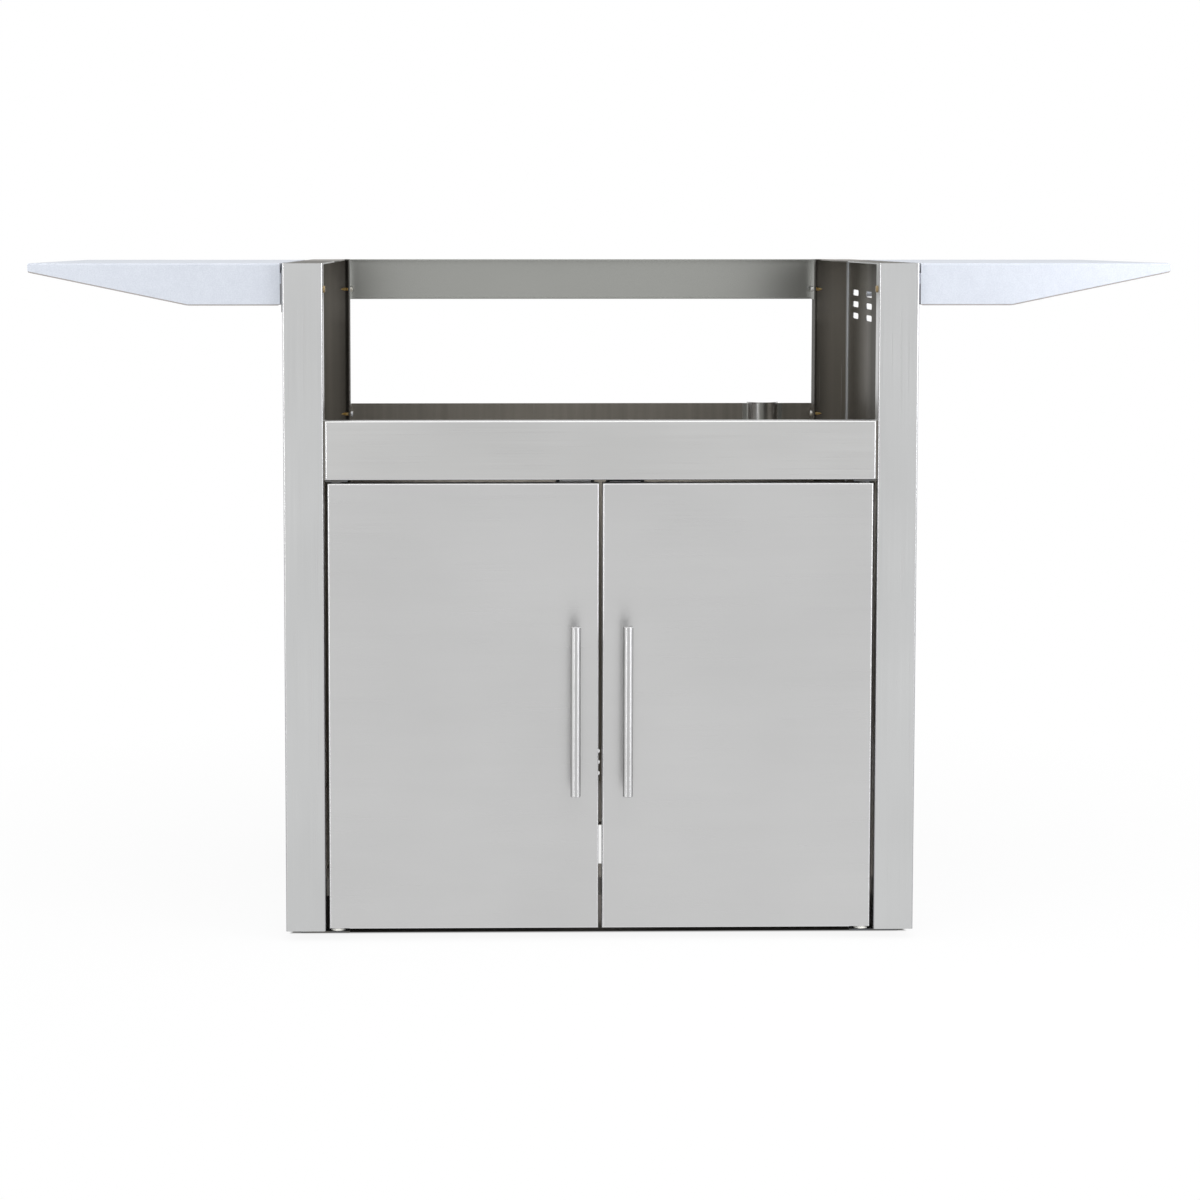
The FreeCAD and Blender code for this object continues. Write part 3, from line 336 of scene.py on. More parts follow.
def painted_shade_mask(tree, out, along):
    """How much shade is painted on the inner faces, which are rougher there: towards the front, and in the
    rear post at and beside its return.
    """
    ahead = remap(tree, along, SHADE_AHEAD, (0.78, 0.0))
    beside = remap(tree, out, tuple(REAR_OPENING + part for part in SHADE_BESIDE), (0.28, 0.0))
    fold = remap(tree, out, tuple(REAR_OPENING + part for part in SHADE_FOLD), (0.95, 0.0))
    beside = math_node(tree, "MAXIMUM", fold, beside)
    in_rear_post = math_node(tree, "GREATER_THAN", along, REAR_FACE - REAR_POST_REACH)
    return math_node(tree, "MAXIMUM", ahead, math_node(tree, "MULTIPLY", beside, in_rear_post))


def inside_side_panel(tree):
    """Mask and finish of the side panel's inner faces."""
    across, along, _ = axes(tree, object_place(tree))
    out = math_node(tree, "ABSOLUTE", across)
    returns = remap(tree, along, MIDWAY, (FRONT_OPENING + SKIN, REAR_OPENING - SKIN))
    within = between(tree, out, returns, HALF_WIDTH - SKIN)
    behind = between(tree, along, FRONT_FACE + SKIN, REAR_FACE - SKIN)
    colour, rough = mill_finish_and_shade(tree)
    # Painted highlight along the seam in the rear corner.
    colour = mix_colours(tree, rear_seam_highlight(tree, out, along), colour, SEAM_HIGHLIGHT_TONE)
    # Painted shade towards the front and in the rear post beside its return, which is also rougher there.
    dull = painted_shade_mask(tree, out, along)
    colour = mix_colours(tree, dull, colour, PAINTED_SHADE_TONE)
    rough = mix_values(tree, dull, rough, DULL_ROUGHNESS)
    return math_node(tree, "MULTIPLY", within, behind), colour, rough


def inside_rail_reveal(tree):
    """Mask and finish of the rail's stepped-back ends, which the brush doesn't reach, painted dark as the
    shade in the reveal.
    """
    across, _, _ = axes(tree, object_place(tree))
    colour, rough = mill_finish_and_shade(tree)
    out = math_node(tree, "ABSOLUTE", across)
    return math_node(tree, "GREATER_THAN", out, FRONT_OPENING - RAIL_REVEAL + SKIN / 4), colour, rough


def inside_back_panel(tree):
    """Mask and finish of the back panel's inner face, unpolished and painted dark as the shade in the bay.
    """
    _, along, _ = axes(tree, object_place(tree))
    colour, rough = mill_finish_and_shade(tree)
    return math_node(tree, "LESS_THAN", along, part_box("back_panel")[1].y - SKIN), colour, rough


def side_panel_steel():
    """Upright grain outside, unpolished inside with painted shade, with a dimmer painted highlight on its
    bends than the other sheets.
    """
    return brushed_steel("side_panel_steel", (0.555, 0.56, 0.56), "z", inside=inside_side_panel,
                         bend=(0.43, 0.43, 0.44))


def back_panel_steel():
    """Brushed outside, unpolished inside and painted dark as the shade in the bay."""
    return brushed_steel("back_panel_steel", (0.55, 0.55, 0.54), "x", inside=inside_back_panel)


def front_rail_steel():
    """Brushed along its length, unpolished and painted dark at its stepped ends, with painted light and
    shade on its folded edges.
    """
    finish = brushed_steel("front_rail_steel", (0.555, 0.555, 0.55), "x", inside=inside_rail_reveal)
    paint_edge_light(finish, (0.36, 0.36, 0.36))
    return finish


def door_steel():
    """Brushed across the door, so that a handle's reflection runs up and down."""
    finish = brushed_steel("door_steel", (0.57, 0.57, 0.569), "x", clouding=0.035)
    # Painted light and shade on the folded edges and in the gaps beside them.
    paint_edge_light(finish, (0.34, 0.34, 0.34))
    draw_out(finish, 0.75)
    return finish


def rear_rail_steel():
    """Smoother sheet, painted darker as the shade at the back of the bay, with a painted highlight on its
    edges.
    """
    finish = brushed_steel("rear_rail_steel", (0.37, 0.375, 0.355), "x", 0.24, 0.02, depth=0.05)
    paint_edge_light(finish, (0.70, 0.70, 0.69))
    return finish


def bay_floor_steel():
    """Duller floor of the oven bay."""
    return brushed_steel("bay_floor_steel", (0.36, 0.345, 0.32), "x", 0.36, 0.06)


def cabinet_floor_shade_steel():
    """Floor of the cabinet, painted dark as the shade inside the cabinet."""
    return brushed_steel("cabinet_floor_shade_steel", (0.20, 0.19, 0.175), "x", 0.42, 0.08)


def mill_steel_and_shade():
    """Unpolished sheet of the door liners, in the mill tone that is painted dark to stand in for shade."""
    finish, tree, shader = new_finish("mill_steel_and_shade")
    colour, rough = mill_finish_and_shade(tree)
    surface(tree, shader, colour, rough, 1.0)
    return finish


# Sideways part of the normal from the bar's front to its sides, and the shade painted along the sides.
FRONT_TO_SIDE = (0.72, 0.95)
BAR_SIDE_PAINTED_SHADE = (0.12, 0.12, 0.115)


def handle_steel():
    """Turned and linished bar: rings of fine grain round it, smoother than the sheet, with painted shade
    along its sides.
    """
    finish, tree, shader = new_finish("handle_steel")
    rings = noise(tree, object_place(tree, GRAIN_ALONG["x"]), 1.0, GRAIN_DETAIL)
    clouds = noise(tree, object_place(tree), 18.0)
    light = remap(tree, math_node(tree, "ADD", rings, clouds), (0.7, 1.3))
    colour = mix_colours(tree, light, (0.48, 0.48, 0.48), (0.53, 0.53, 0.535))
    sideways = math_node(tree, "ABSOLUTE", facing(tree)[0])
    colour = mix_colours(tree, remap(tree, sideways, FRONT_TO_SIDE, (0.0, 0.8)), colour, BAR_SIDE_PAINTED_SHADE)
    surface(tree, shader, colour, remap(tree, rings, NOISE_SPREAD, (0.28, 0.32)), 1.0)
    draw_out(finish, 0.9)
    relief(tree, shader, rings, GRAIN_DEPTH / 2, 0.05)
    return finish


# The shelf's tapered flange: its lower edge, its end, and how long and steep the taper is.
SHELF_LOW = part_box("shelf_tray_right")[0].z
SHELF_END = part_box("shelf_tray_right")[1].x
SHELF_TAPER = 190 * MM
SHELF_SLOPE = 0.208
SHEARED_WIDTH = 1.5 * MM
SHEARED_TONE = (0.30, 0.28, 0.27)


def sheared_edge(tree):
    """One along the lower edge of a shelf's tapered flange, which the shears left dull."""
    across, _, height = axes(tree, object_place(tree))
    beyond = math_node(tree, "SUBTRACT", math_node(tree, "ABSOLUTE", across), SHELF_END - SHELF_TAPER)
    rise = math_node(tree, "MULTIPLY", math_node(tree, "MAXIMUM", beyond, 0.0), SHELF_SLOPE)
    above_taper = math_node(tree, "SUBTRACT", height, rise)
    return math_node(tree, "LESS_THAN", above_taper, SHELF_LOW + SHEARED_WIDTH)


def shelf_steel():
    """Pale bead-blasted shelf sheet with a bluish cast, a fine speckle, a painted highlight on its bends
    and sheared edges.
    """
    finish, tree, shader = new_finish("shelf_steel")
    speckle = noise(tree, object_place(tree), 620.0)
    mottle = noise(tree, object_place(tree), 140.0)
    clouds = noise(tree, object_place(tree), 6.0)
    light = weighted_sum(tree, (speckle, 0.55), (clouds, 0.3), (mottle, 0.15))
    colour = mix_colours(tree, remap(tree, light, (0.36, 0.64)), (0.51, 0.54, 0.60), (0.605, 0.635, 0.69))
    # Painted highlight along the shelf's bends.
    colour = mix_colours(tree, bend_highlight_mask(tree), colour, (0.68, 0.70, 0.75))
    colour = mix_colours(tree, sheared_edge(tree), colour, SHEARED_TONE)
    surface(tree, shader, colour, remap(tree, speckle, NOISE_SPREAD, (0.44, 0.56)), 0.4)
    relief(tree, shader, speckle, 0.06 * MM, 0.3)
    return finish


# Plating and plastics

def plated_steel(name, warm, cool, metal=1.0):
    """Zinc plating with a faint yellow and blue passivation."""
    finish, tree, shader = new_finish(name)
    hue = noise(tree, object_place(tree), 60.0)
    grit = noise(tree, object_place(tree), 900.0)
    colour = mix_colours(tree, remap(tree, hue, NOISE_CORE), warm, cool)
    surface(tree, shader, colour, remap(tree, grit, NOISE_SPREAD, (0.30, 0.46)), metal)
    relief(tree, shader, grit, 0.03 * MM, 0.3)
    return finish


def yellow_zinc(name, deep, pale):
    """Brass-coloured plating of the tapping screws."""
    finish, tree, shader = new_finish(name)
    hue = noise(tree, object_place(tree), 240.0)
    colour = mix_colours(tree, remap(tree, hue, NOISE_CORE), deep, pale)
    surface(tree, shader, colour, remap(tree, hue, NOISE_SPREAD, (0.26, 0.42)), 0.25)
    return finish


# Height above which the bushes get painted shade.
UPPER_BUSHES = 0.3
PLASTIC_GLOSS_RANGE = 0.07


def moulded_plastic(name, tone, roughness, upper_painted_shade=None):
    """Moulded plastic with a fine spark-eroded grain, and painted shade on the upper pieces if given."""
    finish, tree, shader = new_finish(name)
    grain = noise(tree, object_place(tree), 1400.0)
    clouds = noise(tree, object_place(tree), 30.0)
    colour = mix_colours(tree, remap(tree, clouds, NOISE_CORE), shade(tone, 0.88), shade(tone, 1.08))
    if upper_painted_shade:
        _, _, height = axes(tree, object_place(tree))
        upper = math_node(tree, "GREATER_THAN", height, UPPER_BUSHES)
        colour = mix_colours(tree, upper, colour, upper_painted_shade)
    gloss = (roughness - PLASTIC_GLOSS_RANGE, roughness + PLASTIC_GLOSS_RANGE)
    surface(tree, shader, colour, remap(tree, grain, NOISE_SPREAD, gloss), 0.0)
    relief(tree, shader, grain, 0.05 * MM, 0.4)
    return finish


def small_part_finishes():
    """Plating and plastics of the small parts, by name."""
    return {
        "plated": plated_steel("bright_plating", (0.50, 0.48, 0.42), (0.52, 0.54, 0.58)),
        # Pivot plates in dark plating, painted dark as the shade at the ends of the door gap.
        "dark": plated_steel("pivot_plating_painted_shade", (0.11, 0.105, 0.095), (0.11, 0.115, 0.125)),
        # Shelf brackets in grey plating, painted dark as the shade in the gap beside the shelf.
        "grey": plated_steel("bracket_plating_painted_shade", (0.26, 0.26, 0.26), (0.26, 0.27, 0.29)),
        "bright": plated_steel("pole_plating", (0.86, 0.85, 0.82), (0.88, 0.89, 0.91), 0.5),
        "yellow": yellow_zinc("yellow_zinc", (0.72, 0.46, 0.13), (0.92, 0.70, 0.32)),
        "dark_brass": yellow_zinc("dark_brass_zinc", (0.20, 0.14, 0.06), (0.34, 0.25, 0.12)),
        "black": moulded_plastic("catch_plastic", (0.02, 0.02, 0.022), 0.42),
        # Upper bushes painted dark as the shade in the gap above the doors.
        "nylon": moulded_plastic("bush_nylon", (0.80, 0.79, 0.74), 0.45, (0.05, 0.05, 0.05)),
        "hub": moulded_plastic("hub_nylon", (0.30, 0.30, 0.31), 0.5),
        "rubber": moulded_plastic("tyre_rubber", (0.045, 0.045, 0.047), 0.75),
    }


def finish_cad_nodes(small):
    """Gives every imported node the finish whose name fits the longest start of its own."""
    handle = handle_steel()
    rear_rail = rear_rail_steel()
    finishes = {
        "side_panel_": side_panel_steel(),
        "back_panel": back_panel_steel(),
        "front_rail": front_rail_steel(),
        "upper_rear_rail": rear_rail,
        "hose_guide": rear_rail,
        "bay_floor": bay_floor_steel(),
        "cabinet_floor": cabinet_floor_shade_steel(),
        "door_skin_": door_steel(),
        "door_liner_": mill_steel_and_shade(),
        "door_bushes_": small["nylon"],
        "door_catch_": small["black"],
        "strike_plate_": small["plated"],
        "handle_bar_": handle,
        "handle_posts_": handle,
        "handle_screws_": small["plated"],
        "hinge_pins_": small["plated"],
        "pivot_plates_": small["dark"],
        "shelf_": shelf_steel(),
        "shelf_studs_": small["plated"],
        "shelf_brackets_": small["grey"],
        "panel_screws": small["yellow"],
        "floor_rivets": small["plated"],
        "caster_": small["plated"],
        "wheel_hub_": small["hub"],
        "wheel_tyre_": small["rubber"],
    }
    for name, node in nodes.items():
        best = max((start for start in finishes if name.startswith(start)), key=len)
        node.data.materials.clear()
        node.data.materials.append(finishes[best])


small_finishes = small_part_finishes()
finish_cad_nodes(small_finishes)


# Modelling by hand

SMOOTH_ANGLE = math.radians(35)

# Least part of a normal along an axis, for a face that looks that way and for one that is square to it.
LOOKING = 0.9
SQUARE = 0.999


def clear_selection():
    """Leaves nothing selected, so that an operator acts on the new piece alone."""
    bpy.ops.object.select_all(action="DESELECT")


def added(name, *finishes):
    """Names the primitive just added, puts its place into its mesh and gives it its finishes."""
    piece = bpy.context.object
    piece.name = name
    bpy.ops.object.transform_apply(location=True, rotation=True, scale=True)
    for finish in finishes:
        piece.data.materials.append(finish)
    return piece


def pick_faces(piece, chosen):
    """In edit mode, selects the faces whose centre and normal pass a test."""
    bpy.ops.mesh.select_mode(type="FACE")
    bpy.ops.mesh.select_all(action="DESELECT")
    mesh = bmesh.from_edit_mesh(piece.data)
    for face in mesh.faces:
        face.select_set(chosen(face.calc_center_median(), face.normal))
    mesh.select_flush_mode()
    bmesh.update_edit_mesh(piece.data)


def pick_edges(piece, chosen):
    """In edit mode, selects the edges both of whose ends pass a test."""
    bpy.ops.mesh.select_mode(type="EDGE")
    bpy.ops.mesh.select_all(action="DESELECT")
    mesh = bmesh.from_edit_mesh(piece.data)
    for edge in mesh.edges:
        edge.select_set(all(chosen(end.co) for end in edge.verts))
    mesh.select_flush_mode()
    bmesh.update_edit_mesh(piece.data)


def pull(distance):
    """Extrudes the picked faces straight up or down."""
    bpy.ops.mesh.extrude_region_move(TRANSFORM_OT_translate={"value": (0, 0, distance)})


def taper(amount, height):
    """Scales the picked faces about the upright axis."""
    bpy.ops.transform.resize(value=(amount, amount, 1), center_override=(0, 0, height))


def joined(name, pieces):
    """Joins pieces into one, with their places in its mesh."""
    clear_selection()
    for piece in pieces:
        piece.select_set(True)
    bpy.context.view_layer.objects.active = pieces[0]
    if len(pieces) > 1:
        bpy.ops.object.join()
    piece = bpy.context.object
    piece.name = name
    bpy.ops.object.transform_apply(location=True, rotation=True, scale=True)
    bpy.ops.object.shade_smooth_by_angle(angle=SMOOTH_ANGLE)
    return piece


def set_out(name, model, places):
    """Copies one model to each place and turn, each with its own mesh, and joins them into one piece."""
    copies = []
    for place, turn in places:
        copy = model.copy()
        copy.data = model.data.copy()
        bpy.context.scene.collection.objects.link(copy)
        copy.location = place
        copy.rotation_euler = turn
        copies.append(copy)
    bpy.data.objects.remove(model)
    return joined(name, copies)


def on_both_sides(seats):
    """Places and turns of fasteners that point outwards, for seats that are given once for both sides."""
    return [((side * across, along, height), (0, side * math.pi / 2, 0))
            for side in (-1, 1) for across, along, height in seats]


def cut_away(piece, cutter):
    """Cuts one solid out of another."""
    clear_selection()
    bpy.context.view_layer.objects.active = piece
    piece.select_set(True)
    cut = piece.modifiers.new("cut", "BOOLEAN")
    cut.object = cutter
    cut.operation = "DIFFERENCE"
    cut.solver = "EXACT"
    bpy.ops.object.modifier_apply(modifier="cut")
    bpy.data.objects.remove(cutter)


# Tapping screws

SCREW_HEAD_RADIUS = 4.2 * MM
SCREW_HEAD_HEIGHT = 2.4 * MM
SCREW_HEAD_ROUND = 1.3 * MM
SCREW_CORE_RADIUS = 2.1 * MM
SCREW_RADIUS = 2.5 * MM
SCREW_SHANK = 9 * MM
SCREW_PITCH = 1.4 * MM
SCREW_TURNS = 6
STEPS_PER_TURN = 18
RECESS_LENGTH = 4.4 * MM
RECESS_WIDTH = 1.0 * MM
RECESS_DEPTH = 1.5 * MM
RECESS_TAPER = 0.55

# Length of each step of the gimlet point, and how much it narrows.
POINT_STEPS = ((3 * MM, 0.55), (2 * MM, 0.25))


def recess_blade(turn):
    """One arm of the driver's cross, narrower at its tip."""
    clear_selection()
    bpy.ops.mesh.primitive_cube_add(size=1, location=(0, 0, -SCREW_HEAD_HEIGHT), rotation=(0, 0, turn),
                                    scale=(RECESS_LENGTH, RECESS_WIDTH, 2 * RECESS_DEPTH))
    blade = added("recess_blade")
    bpy.ops.object.mode_set(mode="EDIT")
    pick_faces(blade, lambda centre, normal: normal.z > LOOKING)
    taper(RECESS_TAPER, 0)
    bpy.ops.object.mode_set(mode="OBJECT")
    return blade


def screw_head(finish):
    """Pan head below the seat, with a rounded rim and a cross recess."""
    clear_selection()
    bpy.ops.mesh.primitive_cylinder_add(vertices=32, radius=SCREW_HEAD_RADIUS, depth=SCREW_HEAD_HEIGHT,
                                        location=(0, 0, -SCREW_HEAD_HEIGHT / 2))
    head = added("screw_head", finish)
    bpy.ops.object.mode_set(mode="EDIT")
    pick_edges(head, lambda end: end.z < -SCREW_HEAD_HEIGHT / 2)
    bpy.ops.mesh.bevel(offset=SCREW_HEAD_ROUND, segments=5, affect="EDGES")
    bpy.ops.object.mode_set(mode="OBJECT")
    for turn in (0, math.pi / 2):
        cut_away(head, recess_blade(turn))
    return head


def screw_shank():
    """Core of the thread with a gimlet point."""
    clear_selection()
    bpy.ops.mesh.primitive_cylinder_add(vertices=20, radius=SCREW_CORE_RADIUS, depth=SCREW_SHANK,
                                        location=(0, 0, SCREW_SHANK / 2))
    shank = added("screw_shank", small_finishes["yellow"])
    bpy.ops.object.mode_set(mode="EDIT")
    pick_faces(shank, lambda centre, normal: normal.z > LOOKING)
    for length, narrowing in POINT_STEPS:
        pull(length)
        taper(narrowing, SCREW_SHANK)
    bpy.ops.object.mode_set(mode="OBJECT")
    return shank


def screw_thread():
    """Sharp spiral ridge round the core."""
    clear_selection()
    ridge = (SCREW_RADIUS - SCREW_CORE_RADIUS) * 1.2
    bpy.ops.mesh.primitive_circle_add(vertices=3, radius=ridge, rotation=(math.pi / 2, math.pi / 2, 0),
                                      location=(SCREW_RADIUS - ridge, 0, SCREW_PITCH * 0.6))
    thread = added("screw_thread", small_finishes["yellow"])
    turns = thread.modifiers.new("turns", "SCREW")
    turns.axis = "Z"
    turns.screw_offset = SCREW_PITCH
    turns.iterations = SCREW_TURNS
    turns.steps = STEPS_PER_TURN
    turns.render_steps = STEPS_PER_TURN
    bpy.ops.object.modifier_apply(modifier="turns")
    bpy.ops.object.mode_set(mode="EDIT")
    bpy.ops.mesh.select_all(action="SELECT")
    bpy.ops.mesh.fill_holes(sides=3)
    bpy.ops.mesh.normals_make_consistent(inside=False)
    bpy.ops.object.mode_set(mode="OBJECT")
    return thread


def screwed_in(name, head_finish, seats):
    """One kind of tapping screw at its seats on both sides, head in the bay and point inside the post."""
    parts = [screw_head(small_finishes[head_finish]), screw_shank(), screw_thread()]
    return set_out(name, joined("tapping_screw", parts), on_both_sides(seats))


FRONT_SCREW_Y = -265.5 * MM
REAR_SCREW_Y = 301 * MM
RAIL_SCREW_HEIGHTS = (574 * MM, 617 * MM)
OVEN_SCREW_HEIGHT = 788 * MM
REAR_SCREW_HEIGHTS = (85.5 * MM, 343.25 * MM, 601 * MM, 777 * MM)


def tapping_screws():
    """Screws through the post returns: plain heads on the rails and the back, dark brass-coloured heads for
    the oven.
    """
    rail_seats = [(FRONT_OPENING - SHEET, FRONT_SCREW_Y, height) for height in RAIL_SCREW_HEIGHTS]
    rail_seats += [(REAR_OPENING - SHEET, REAR_SCREW_Y, height) for height in REAR_SCREW_HEIGHTS]
    oven_seats = [(FRONT_OPENING, FRONT_SCREW_Y, OVEN_SCREW_HEIGHT)]
    screws = joined("tapping_screws", [screwed_in("rail_screws", "plated", rail_seats),
                                       screwed_in("oven_screws", "dark_brass", oven_seats)])
    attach(screws, "frame")
    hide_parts("panel_screws")


# Blind rivets

RIVET_HEAD_RADIUS = 3.2 * MM
RIVET_HEAD_HEIGHT = 1.2 * MM
RIVET_HEAD_ROUND = 1.0 * MM
RIVET_RADIUS = 1.6 * MM
RIVET_GRIP = 3 * MM
DIMPLE_INSET = 1.216 * MM
DIMPLE_DEPTH = 0.84 * MM
RIVET_ROWS = (-215 * MM, -62 * MM, 91 * MM, 244 * MM)
RIVET_HEIGHTS = (571.5 * MM, 59.5 * MM)

# Length of each step of the bulged tail, and how much it widens or narrows.
TAIL_STEPS = ((0.3 * MM, 1.45), (2.1 * MM, 1.0), (0.6 * MM, 0.6))


def blind_rivet():
    """Domed head with the drawn mandrel's dimple, and a tail that bulges behind the sheets."""
    clear_selection()
    bpy.ops.mesh.primitive_cylinder_add(vertices=28, radius=RIVET_HEAD_RADIUS, depth=RIVET_HEAD_HEIGHT,
                                        location=(0, 0, RIVET_HEAD_HEIGHT / 2))
    rivet = added("blind_rivet", small_finishes["plated"])
    bpy.ops.object.mode_set(mode="EDIT")
    pick_edges(rivet, lambda end: end.z > RIVET_HEAD_HEIGHT / 2)
    bpy.ops.mesh.bevel(offset=RIVET_HEAD_ROUND, segments=5, affect="EDGES")
    pick_faces(rivet, lambda centre, normal: normal.z > SQUARE)
    bpy.ops.mesh.inset(thickness=DIMPLE_INSET)
    pull(-DIMPLE_DEPTH)
    pick_faces(rivet, lambda centre, normal: normal.z < -LOOKING)
    bpy.ops.mesh.inset(thickness=RIVET_HEAD_RADIUS - RIVET_RADIUS)
    pull(-RIVET_GRIP)
    for length, widening in TAIL_STEPS:
        pull(-length)
        taper(widening, 0)
    bpy.ops.object.mode_set(mode="OBJECT")
    return rivet


def blind_rivets():
    """Rivets of both floors along the foot and the middle of the side panels."""
    seats = [(HALF_WIDTH, along, height) for along in RIVET_ROWS for height in RIVET_HEIGHTS]
    rivets = set_out("blind_rivets", blind_rivet(), on_both_sides(seats))
    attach(rivets, "frame")
    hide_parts("floor_rivets")


# Magnetic door catches

CATCH_WALL = 2 * MM
CATCH_ROUND = 1.5 * MM
CATCH_RECESS = 4 * MM
POLE_PLATE = 1.6 * MM
POLE_ROUND = 0.4 * MM
POLE_FORWARD = 1 * MM
POLE_SHORTER = 3 * MM
POLE_SPACING = 5.2 * MM
UPPER_POLE = {"left": 4.0 * MM, "right": 2.6 * MM}


def catch_housing(low, high):
    """Black housing under the rail's flange, open at the front."""
    clear_selection()
    bpy.ops.mesh.primitive_cube_add(size=1, location=(low + high) / 2, scale=high - low)
    housing = added("catch_housing", small_finishes["black"])
    bpy.ops.object.mode_set(mode="EDIT")
    pick_edges(housing, lambda end: end.z < low.z + SKIN)
    bpy.ops.mesh.bevel(offset=CATCH_ROUND, segments=3, affect="EDGES")
    pick_faces(housing, lambda centre, normal: normal.y < -SQUARE)
    bpy.ops.mesh.inset(thickness=CATCH_WALL)
    bpy.ops.mesh.extrude_region_move(TRANSFORM_OT_translate={"value": (0, CATCH_RECESS, 0)})
    bpy.ops.object.mode_set(mode="OBJECT")
    return housing


def pole_plate(low, high, height):
    """Steel strip beside the magnet, with its front edge rounded."""
    clear_selection()
    middle = (low + high) / 2
    size = high - low
    bpy.ops.mesh.primitive_cube_add(size=1, location=(middle.x, middle.y - POLE_FORWARD, height),
                                    scale=(size.x - 4 * CATCH_WALL, size.y - POLE_SHORTER, POLE_PLATE))
    plate = added("pole_plate", small_finishes["bright"])
    bpy.ops.object.mode_set(mode="EDIT")
    pick_edges(plate, lambda end: end.y < middle.y)
    bpy.ops.mesh.bevel(offset=POLE_ROUND, segments=3, affect="EDGES")
    bpy.ops.object.mode_set(mode="OBJECT")
    return plate


def door_catches():
    """Magnetic catches: housing with two pole plates that meet the door's strike plate."""
    for side in SIDES:
        low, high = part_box(f"door_catch_{side}")
        upper = (low.z + high.z) / 2 + UPPER_POLE[side]
        plates = [pole_plate(low, high, height) for height in (upper, upper - POLE_SPACING)]
        catch = joined(f"magnet_catch_{side}", [catch_housing(low, high), *plates])
        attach(catch, "frame")
        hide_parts(f"door_catch_{side}")


tapping_screws()
blind_rivets()
door_catches()


# Floor

FLOOR_SIZE = 24.0
FADE_REACH = (0.4, 1.3)
PAPER_TONE = (0.86, 0.86, 0.86)
# Shadow painted on the paper under the cart.
PAINTED_SHADOW_TONE = (0.16, 0.15, 0.14)

# How far inside the cart's faces the floor's painted shadow is full and begins, and where white light
# is painted on the floor that shows through the cylinder hole.
SIDE_SHADE = (6 * MM, 1 * MM)
END_SHADE = (42 * MM, 34 * MM)
HOLE_ALONG = (60 * MM, 100 * MM)
HOLE_ACROSS = (120 * MM, 170 * MM)


def seen_directly(tree):
    """One for rays that show a surface to the camera, straight or in a reflection."""
    path = tree.nodes.new("ShaderNodeLightPath")
    seen = math_node(tree, "MAXIMUM", path.outputs["Is Camera Ray"], path.outputs["Is Glossy Ray"])
    return math_node(tree, "MAXIMUM", seen, path.outputs["Is Transmission Ray"])


def outside_cart(tree, out, along):
    """One on the floor round the cart, nought beneath it."""
    middle = (FRONT_FACE + REAR_FACE) / 2
    reach = REAR_FACE - middle
    beside = remap(tree, out, tuple(HALF_WIDTH - part for part in SIDE_SHADE))
    from_middle = math_node(tree, "ABSOLUTE", math_node(tree, "SUBTRACT", along, middle))
    beyond = remap(tree, from_middle, tuple(reach - part for part in END_SHADE))
    return math_node(tree, "MAXIMUM", beside, beyond)


def painted_light_below_hole(tree, out, along):
    """One on the floor that shows through the cylinder hole, where white light is painted."""
    behind = remap(tree, along, HOLE_ALONG)
    within = remap(tree, out, HOLE_ACROSS, (1.0, 0.0))
    return math_node(tree, "MULTIPLY", behind, within)


def floor_paper():
    """White paper with a painted shadow under the cart and painted white light below the cylinder hole; it
    keeps the cart's soft shadow and fades to plain white further out.
    """
    finish = bpy.data.materials.new("floor_paper")
    finish.use_nodes = True
    tree = finish.node_tree
    tree.nodes.clear()
    paper = tree.nodes.new("ShaderNodeBsdfDiffuse")
    white = tree.nodes.new("ShaderNodeEmission")
    white.inputs["Color"].default_value = (1, 1, 1, 1)
    distance = tree.nodes.new("ShaderNodeVectorMath")
    distance.operation = "LENGTH"
    tree.links.new(object_place(tree), distance.inputs[0])
    fade = remap(tree, distance.outputs["Value"], FADE_REACH, (0.90, 1.0))
    across, along, _ = axes(tree, object_place(tree))
    out = math_node(tree, "ABSOLUTE", across)
    outside = outside_cart(tree, out, along)
    tree.links.new(mix_colours(tree, outside, PAINTED_SHADOW_TONE, PAPER_TONE), paper.inputs["Color"])
    # White shown round the cart, and white light painted on the floor below the cylinder hole.
    shown_white = math_node(tree, "MAXIMUM", outside, painted_light_below_hole(tree, out, along))
    whiteness = math_node(tree, "MULTIPLY", math_node(tree, "MULTIPLY", fade, shown_white), seen_directly(tree))
    mix = tree.nodes.new("ShaderNodeMixShader")
    tree.links.new(whiteness, mix.inputs["Fac"])
    tree.links.new(paper.outputs[0], mix.inputs[1])
    tree.links.new(white.outputs[0], mix.inputs[2])
    output = tree.nodes.new("ShaderNodeOutputMaterial")
    tree.links.new(mix.outputs[0], output.inputs["Surface"])
    return finish


def pale_floor():
    """Plain floor that the cart stands on."""
    clear_selection()
    bpy.ops.mesh.primitive_plane_add(size=FLOOR_SIZE, location=(0, 0, 0))
    floor = bpy.context.object
    floor.name = "floor"
    floor.data.materials.append(floor_paper())


# Light and camera

FILL_STRENGTH = 0.62

# Direction from the front wall to the sides of the studio, and how bright reflections show it.
FRONT_TO_SIDE_WALL = (-0.95, -0.35)
WALL_BRIGHTNESS = (0.86, 1.0)

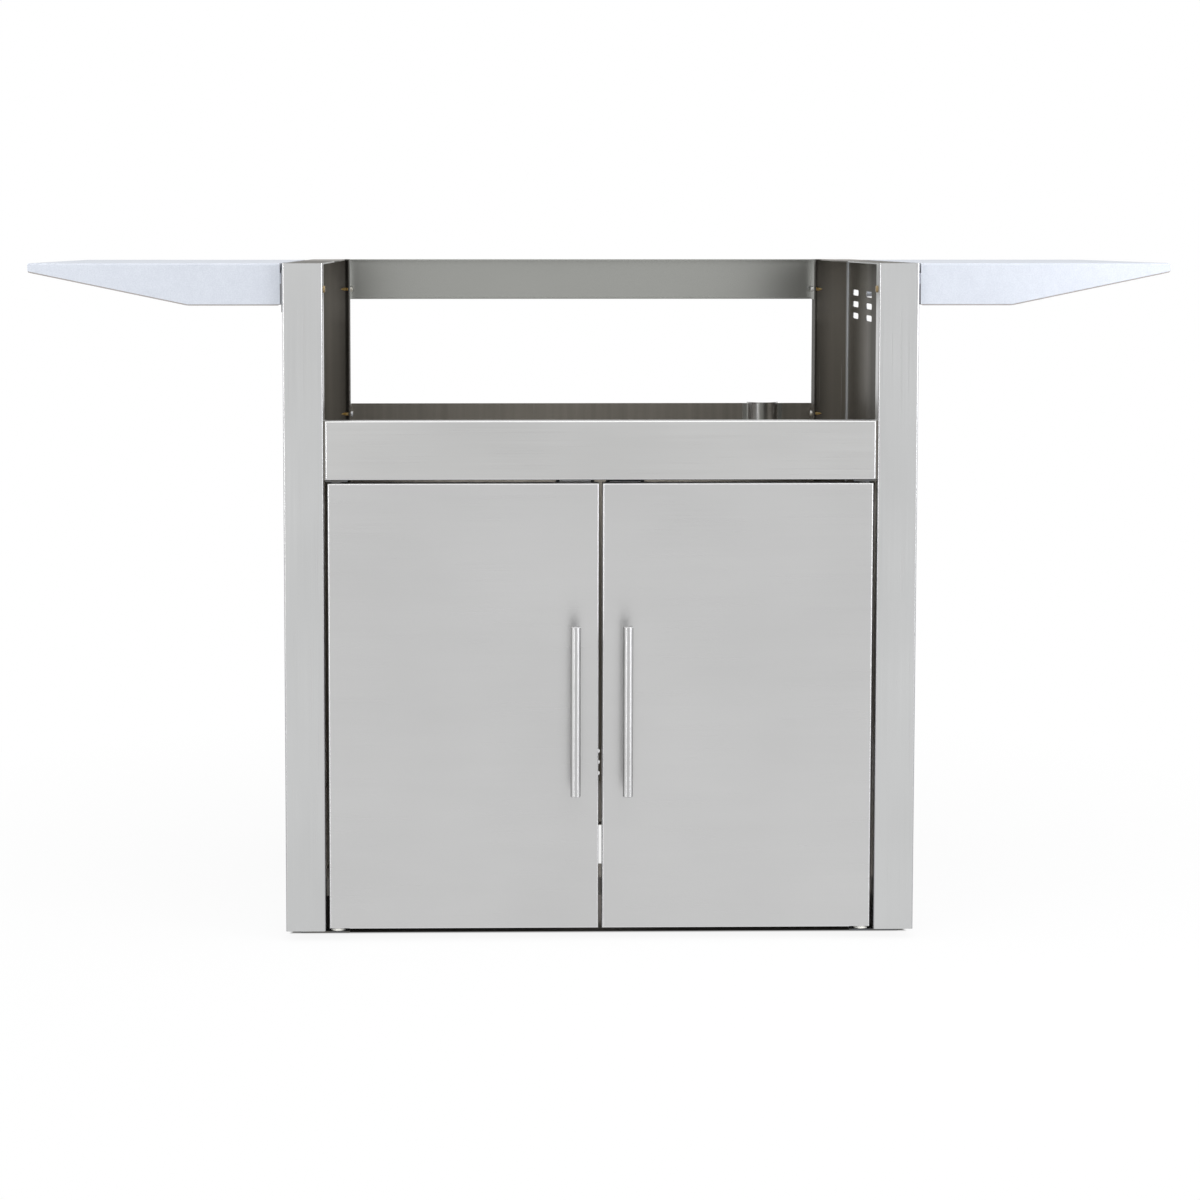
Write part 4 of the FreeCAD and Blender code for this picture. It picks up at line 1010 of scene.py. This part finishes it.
# Name, place, what it is aimed at, width, height, brightness of its face, colour.
SOFTBOXES = (
    ("top_softbox", (0, -1.2, 3.4), (0, 0, 0.4), 3.6, 3.6, 1.2, (1, 1, 1)),
    ("left_softbox", (-3.4, -1.6, 1.5), (0, 0, 0.5), 2.6, 2.6, 1.3, (1, 1, 0.985)),
    ("right_softbox", (3.0, -1.7, 1.4), (0.3, 0, 0.6), 2.4, 2.4, 1.35, (0.96, 0.98, 1)),
    ("left_strip", (-2.05, -2.85, 0.8), (0, -0.3, 0.4), 0.36, 1.5, 9.0, (1, 1, 1)),
    ("right_strip", (2.3, -2.75, 0.8), (0, -0.3, 0.4), 0.42, 1.5, 3.8, (0.95, 0.95, 1)),
    ("right_fill", (1.7, -1.4, 1.0), (0.6, -0.28, 0.8), 0.7, 0.7, 7.0, (0.98, 0.98, 1)),
    ("cabinet_fill", (0, 0.02, 0.545), (0, 0.02, 0), 0.5, 0.4, 4.2, (1, 0.99, 0.98)),
)

CAMERA_PLACE = (-0.150, -3.45, 0.85)
LOOKS_DOWN = math.radians(4.19)
LOOKS_RIGHT = math.radians(1.0)
LENS = 79.8
SENSOR_WIDTH = 36.0
LENS_SHIFT = (0.065, -0.14)


def white_studio():
    """White walls in the picture and in reflections, a softer fill for everything else."""
    world = bpy.data.worlds.new("white_studio")
    bpy.context.scene.world = world
    world.use_nodes = True
    tree = world.node_tree
    fill = tree.nodes["Background"]
    fill.inputs["Color"].default_value = (1, 1, 1, 1)
    path = tree.nodes.new("ShaderNodeLightPath")
    directions = tree.nodes.new("ShaderNodeTexCoord")
    _, ahead, _ = axes(tree, directions.outputs["Generated"])
    wall = remap(tree, ahead, FRONT_TO_SIDE_WALL, WALL_BRIGHTNESS)
    strength = mix_values(tree, path.outputs["Is Glossy Ray"], FILL_STRENGTH, wall)
    seen = math_node(tree, "MAXIMUM", path.outputs["Is Camera Ray"], path.outputs["Is Transmission Ray"])
    strength = mix_values(tree, seen, strength, 1.0)
    tree.links.new(strength, fill.inputs["Strength"])


def softbox(name, place, aim, width, height, radiance, colour):
    """An area lamp whose face has the given brightness."""
    lamp = bpy.data.lights.new(name, "AREA")
    lamp.shape = "RECTANGLE"
    lamp.size = width
    lamp.size_y = height
    lamp.energy = radiance * math.pi * width * height
    lamp.color = colour
    holder = bpy.data.objects.new(name, lamp)
    bpy.context.scene.collection.objects.link(holder)
    holder.location = place
    holder.rotation_euler = (Vector(aim) - Vector(place)).to_track_quat("-Z", "Y").to_euler()
    holder.visible_camera = False


def photograph_camera():
    """The photograph's view: almost head-on from a little left, just above the cart's top."""
    camera = bpy.data.cameras.new("photo_camera")
    camera.lens = LENS
    camera.sensor_width = SENSOR_WIDTH
    camera.shift_x, camera.shift_y = LENS_SHIFT
    holder = bpy.data.objects.new("photo_camera", camera)
    bpy.context.scene.collection.objects.link(holder)
    holder.location = CAMERA_PLACE
    holder.rotation_euler = (math.pi / 2 - LOOKS_DOWN, 0, -LOOKS_RIGHT)
    bpy.context.scene.camera = holder


pale_floor()
white_studio()
for lamp_values in SOFTBOXES:
    softbox(*lamp_values)
photograph_camera()
bpy.context.scene.view_settings.view_transform = "Standard"
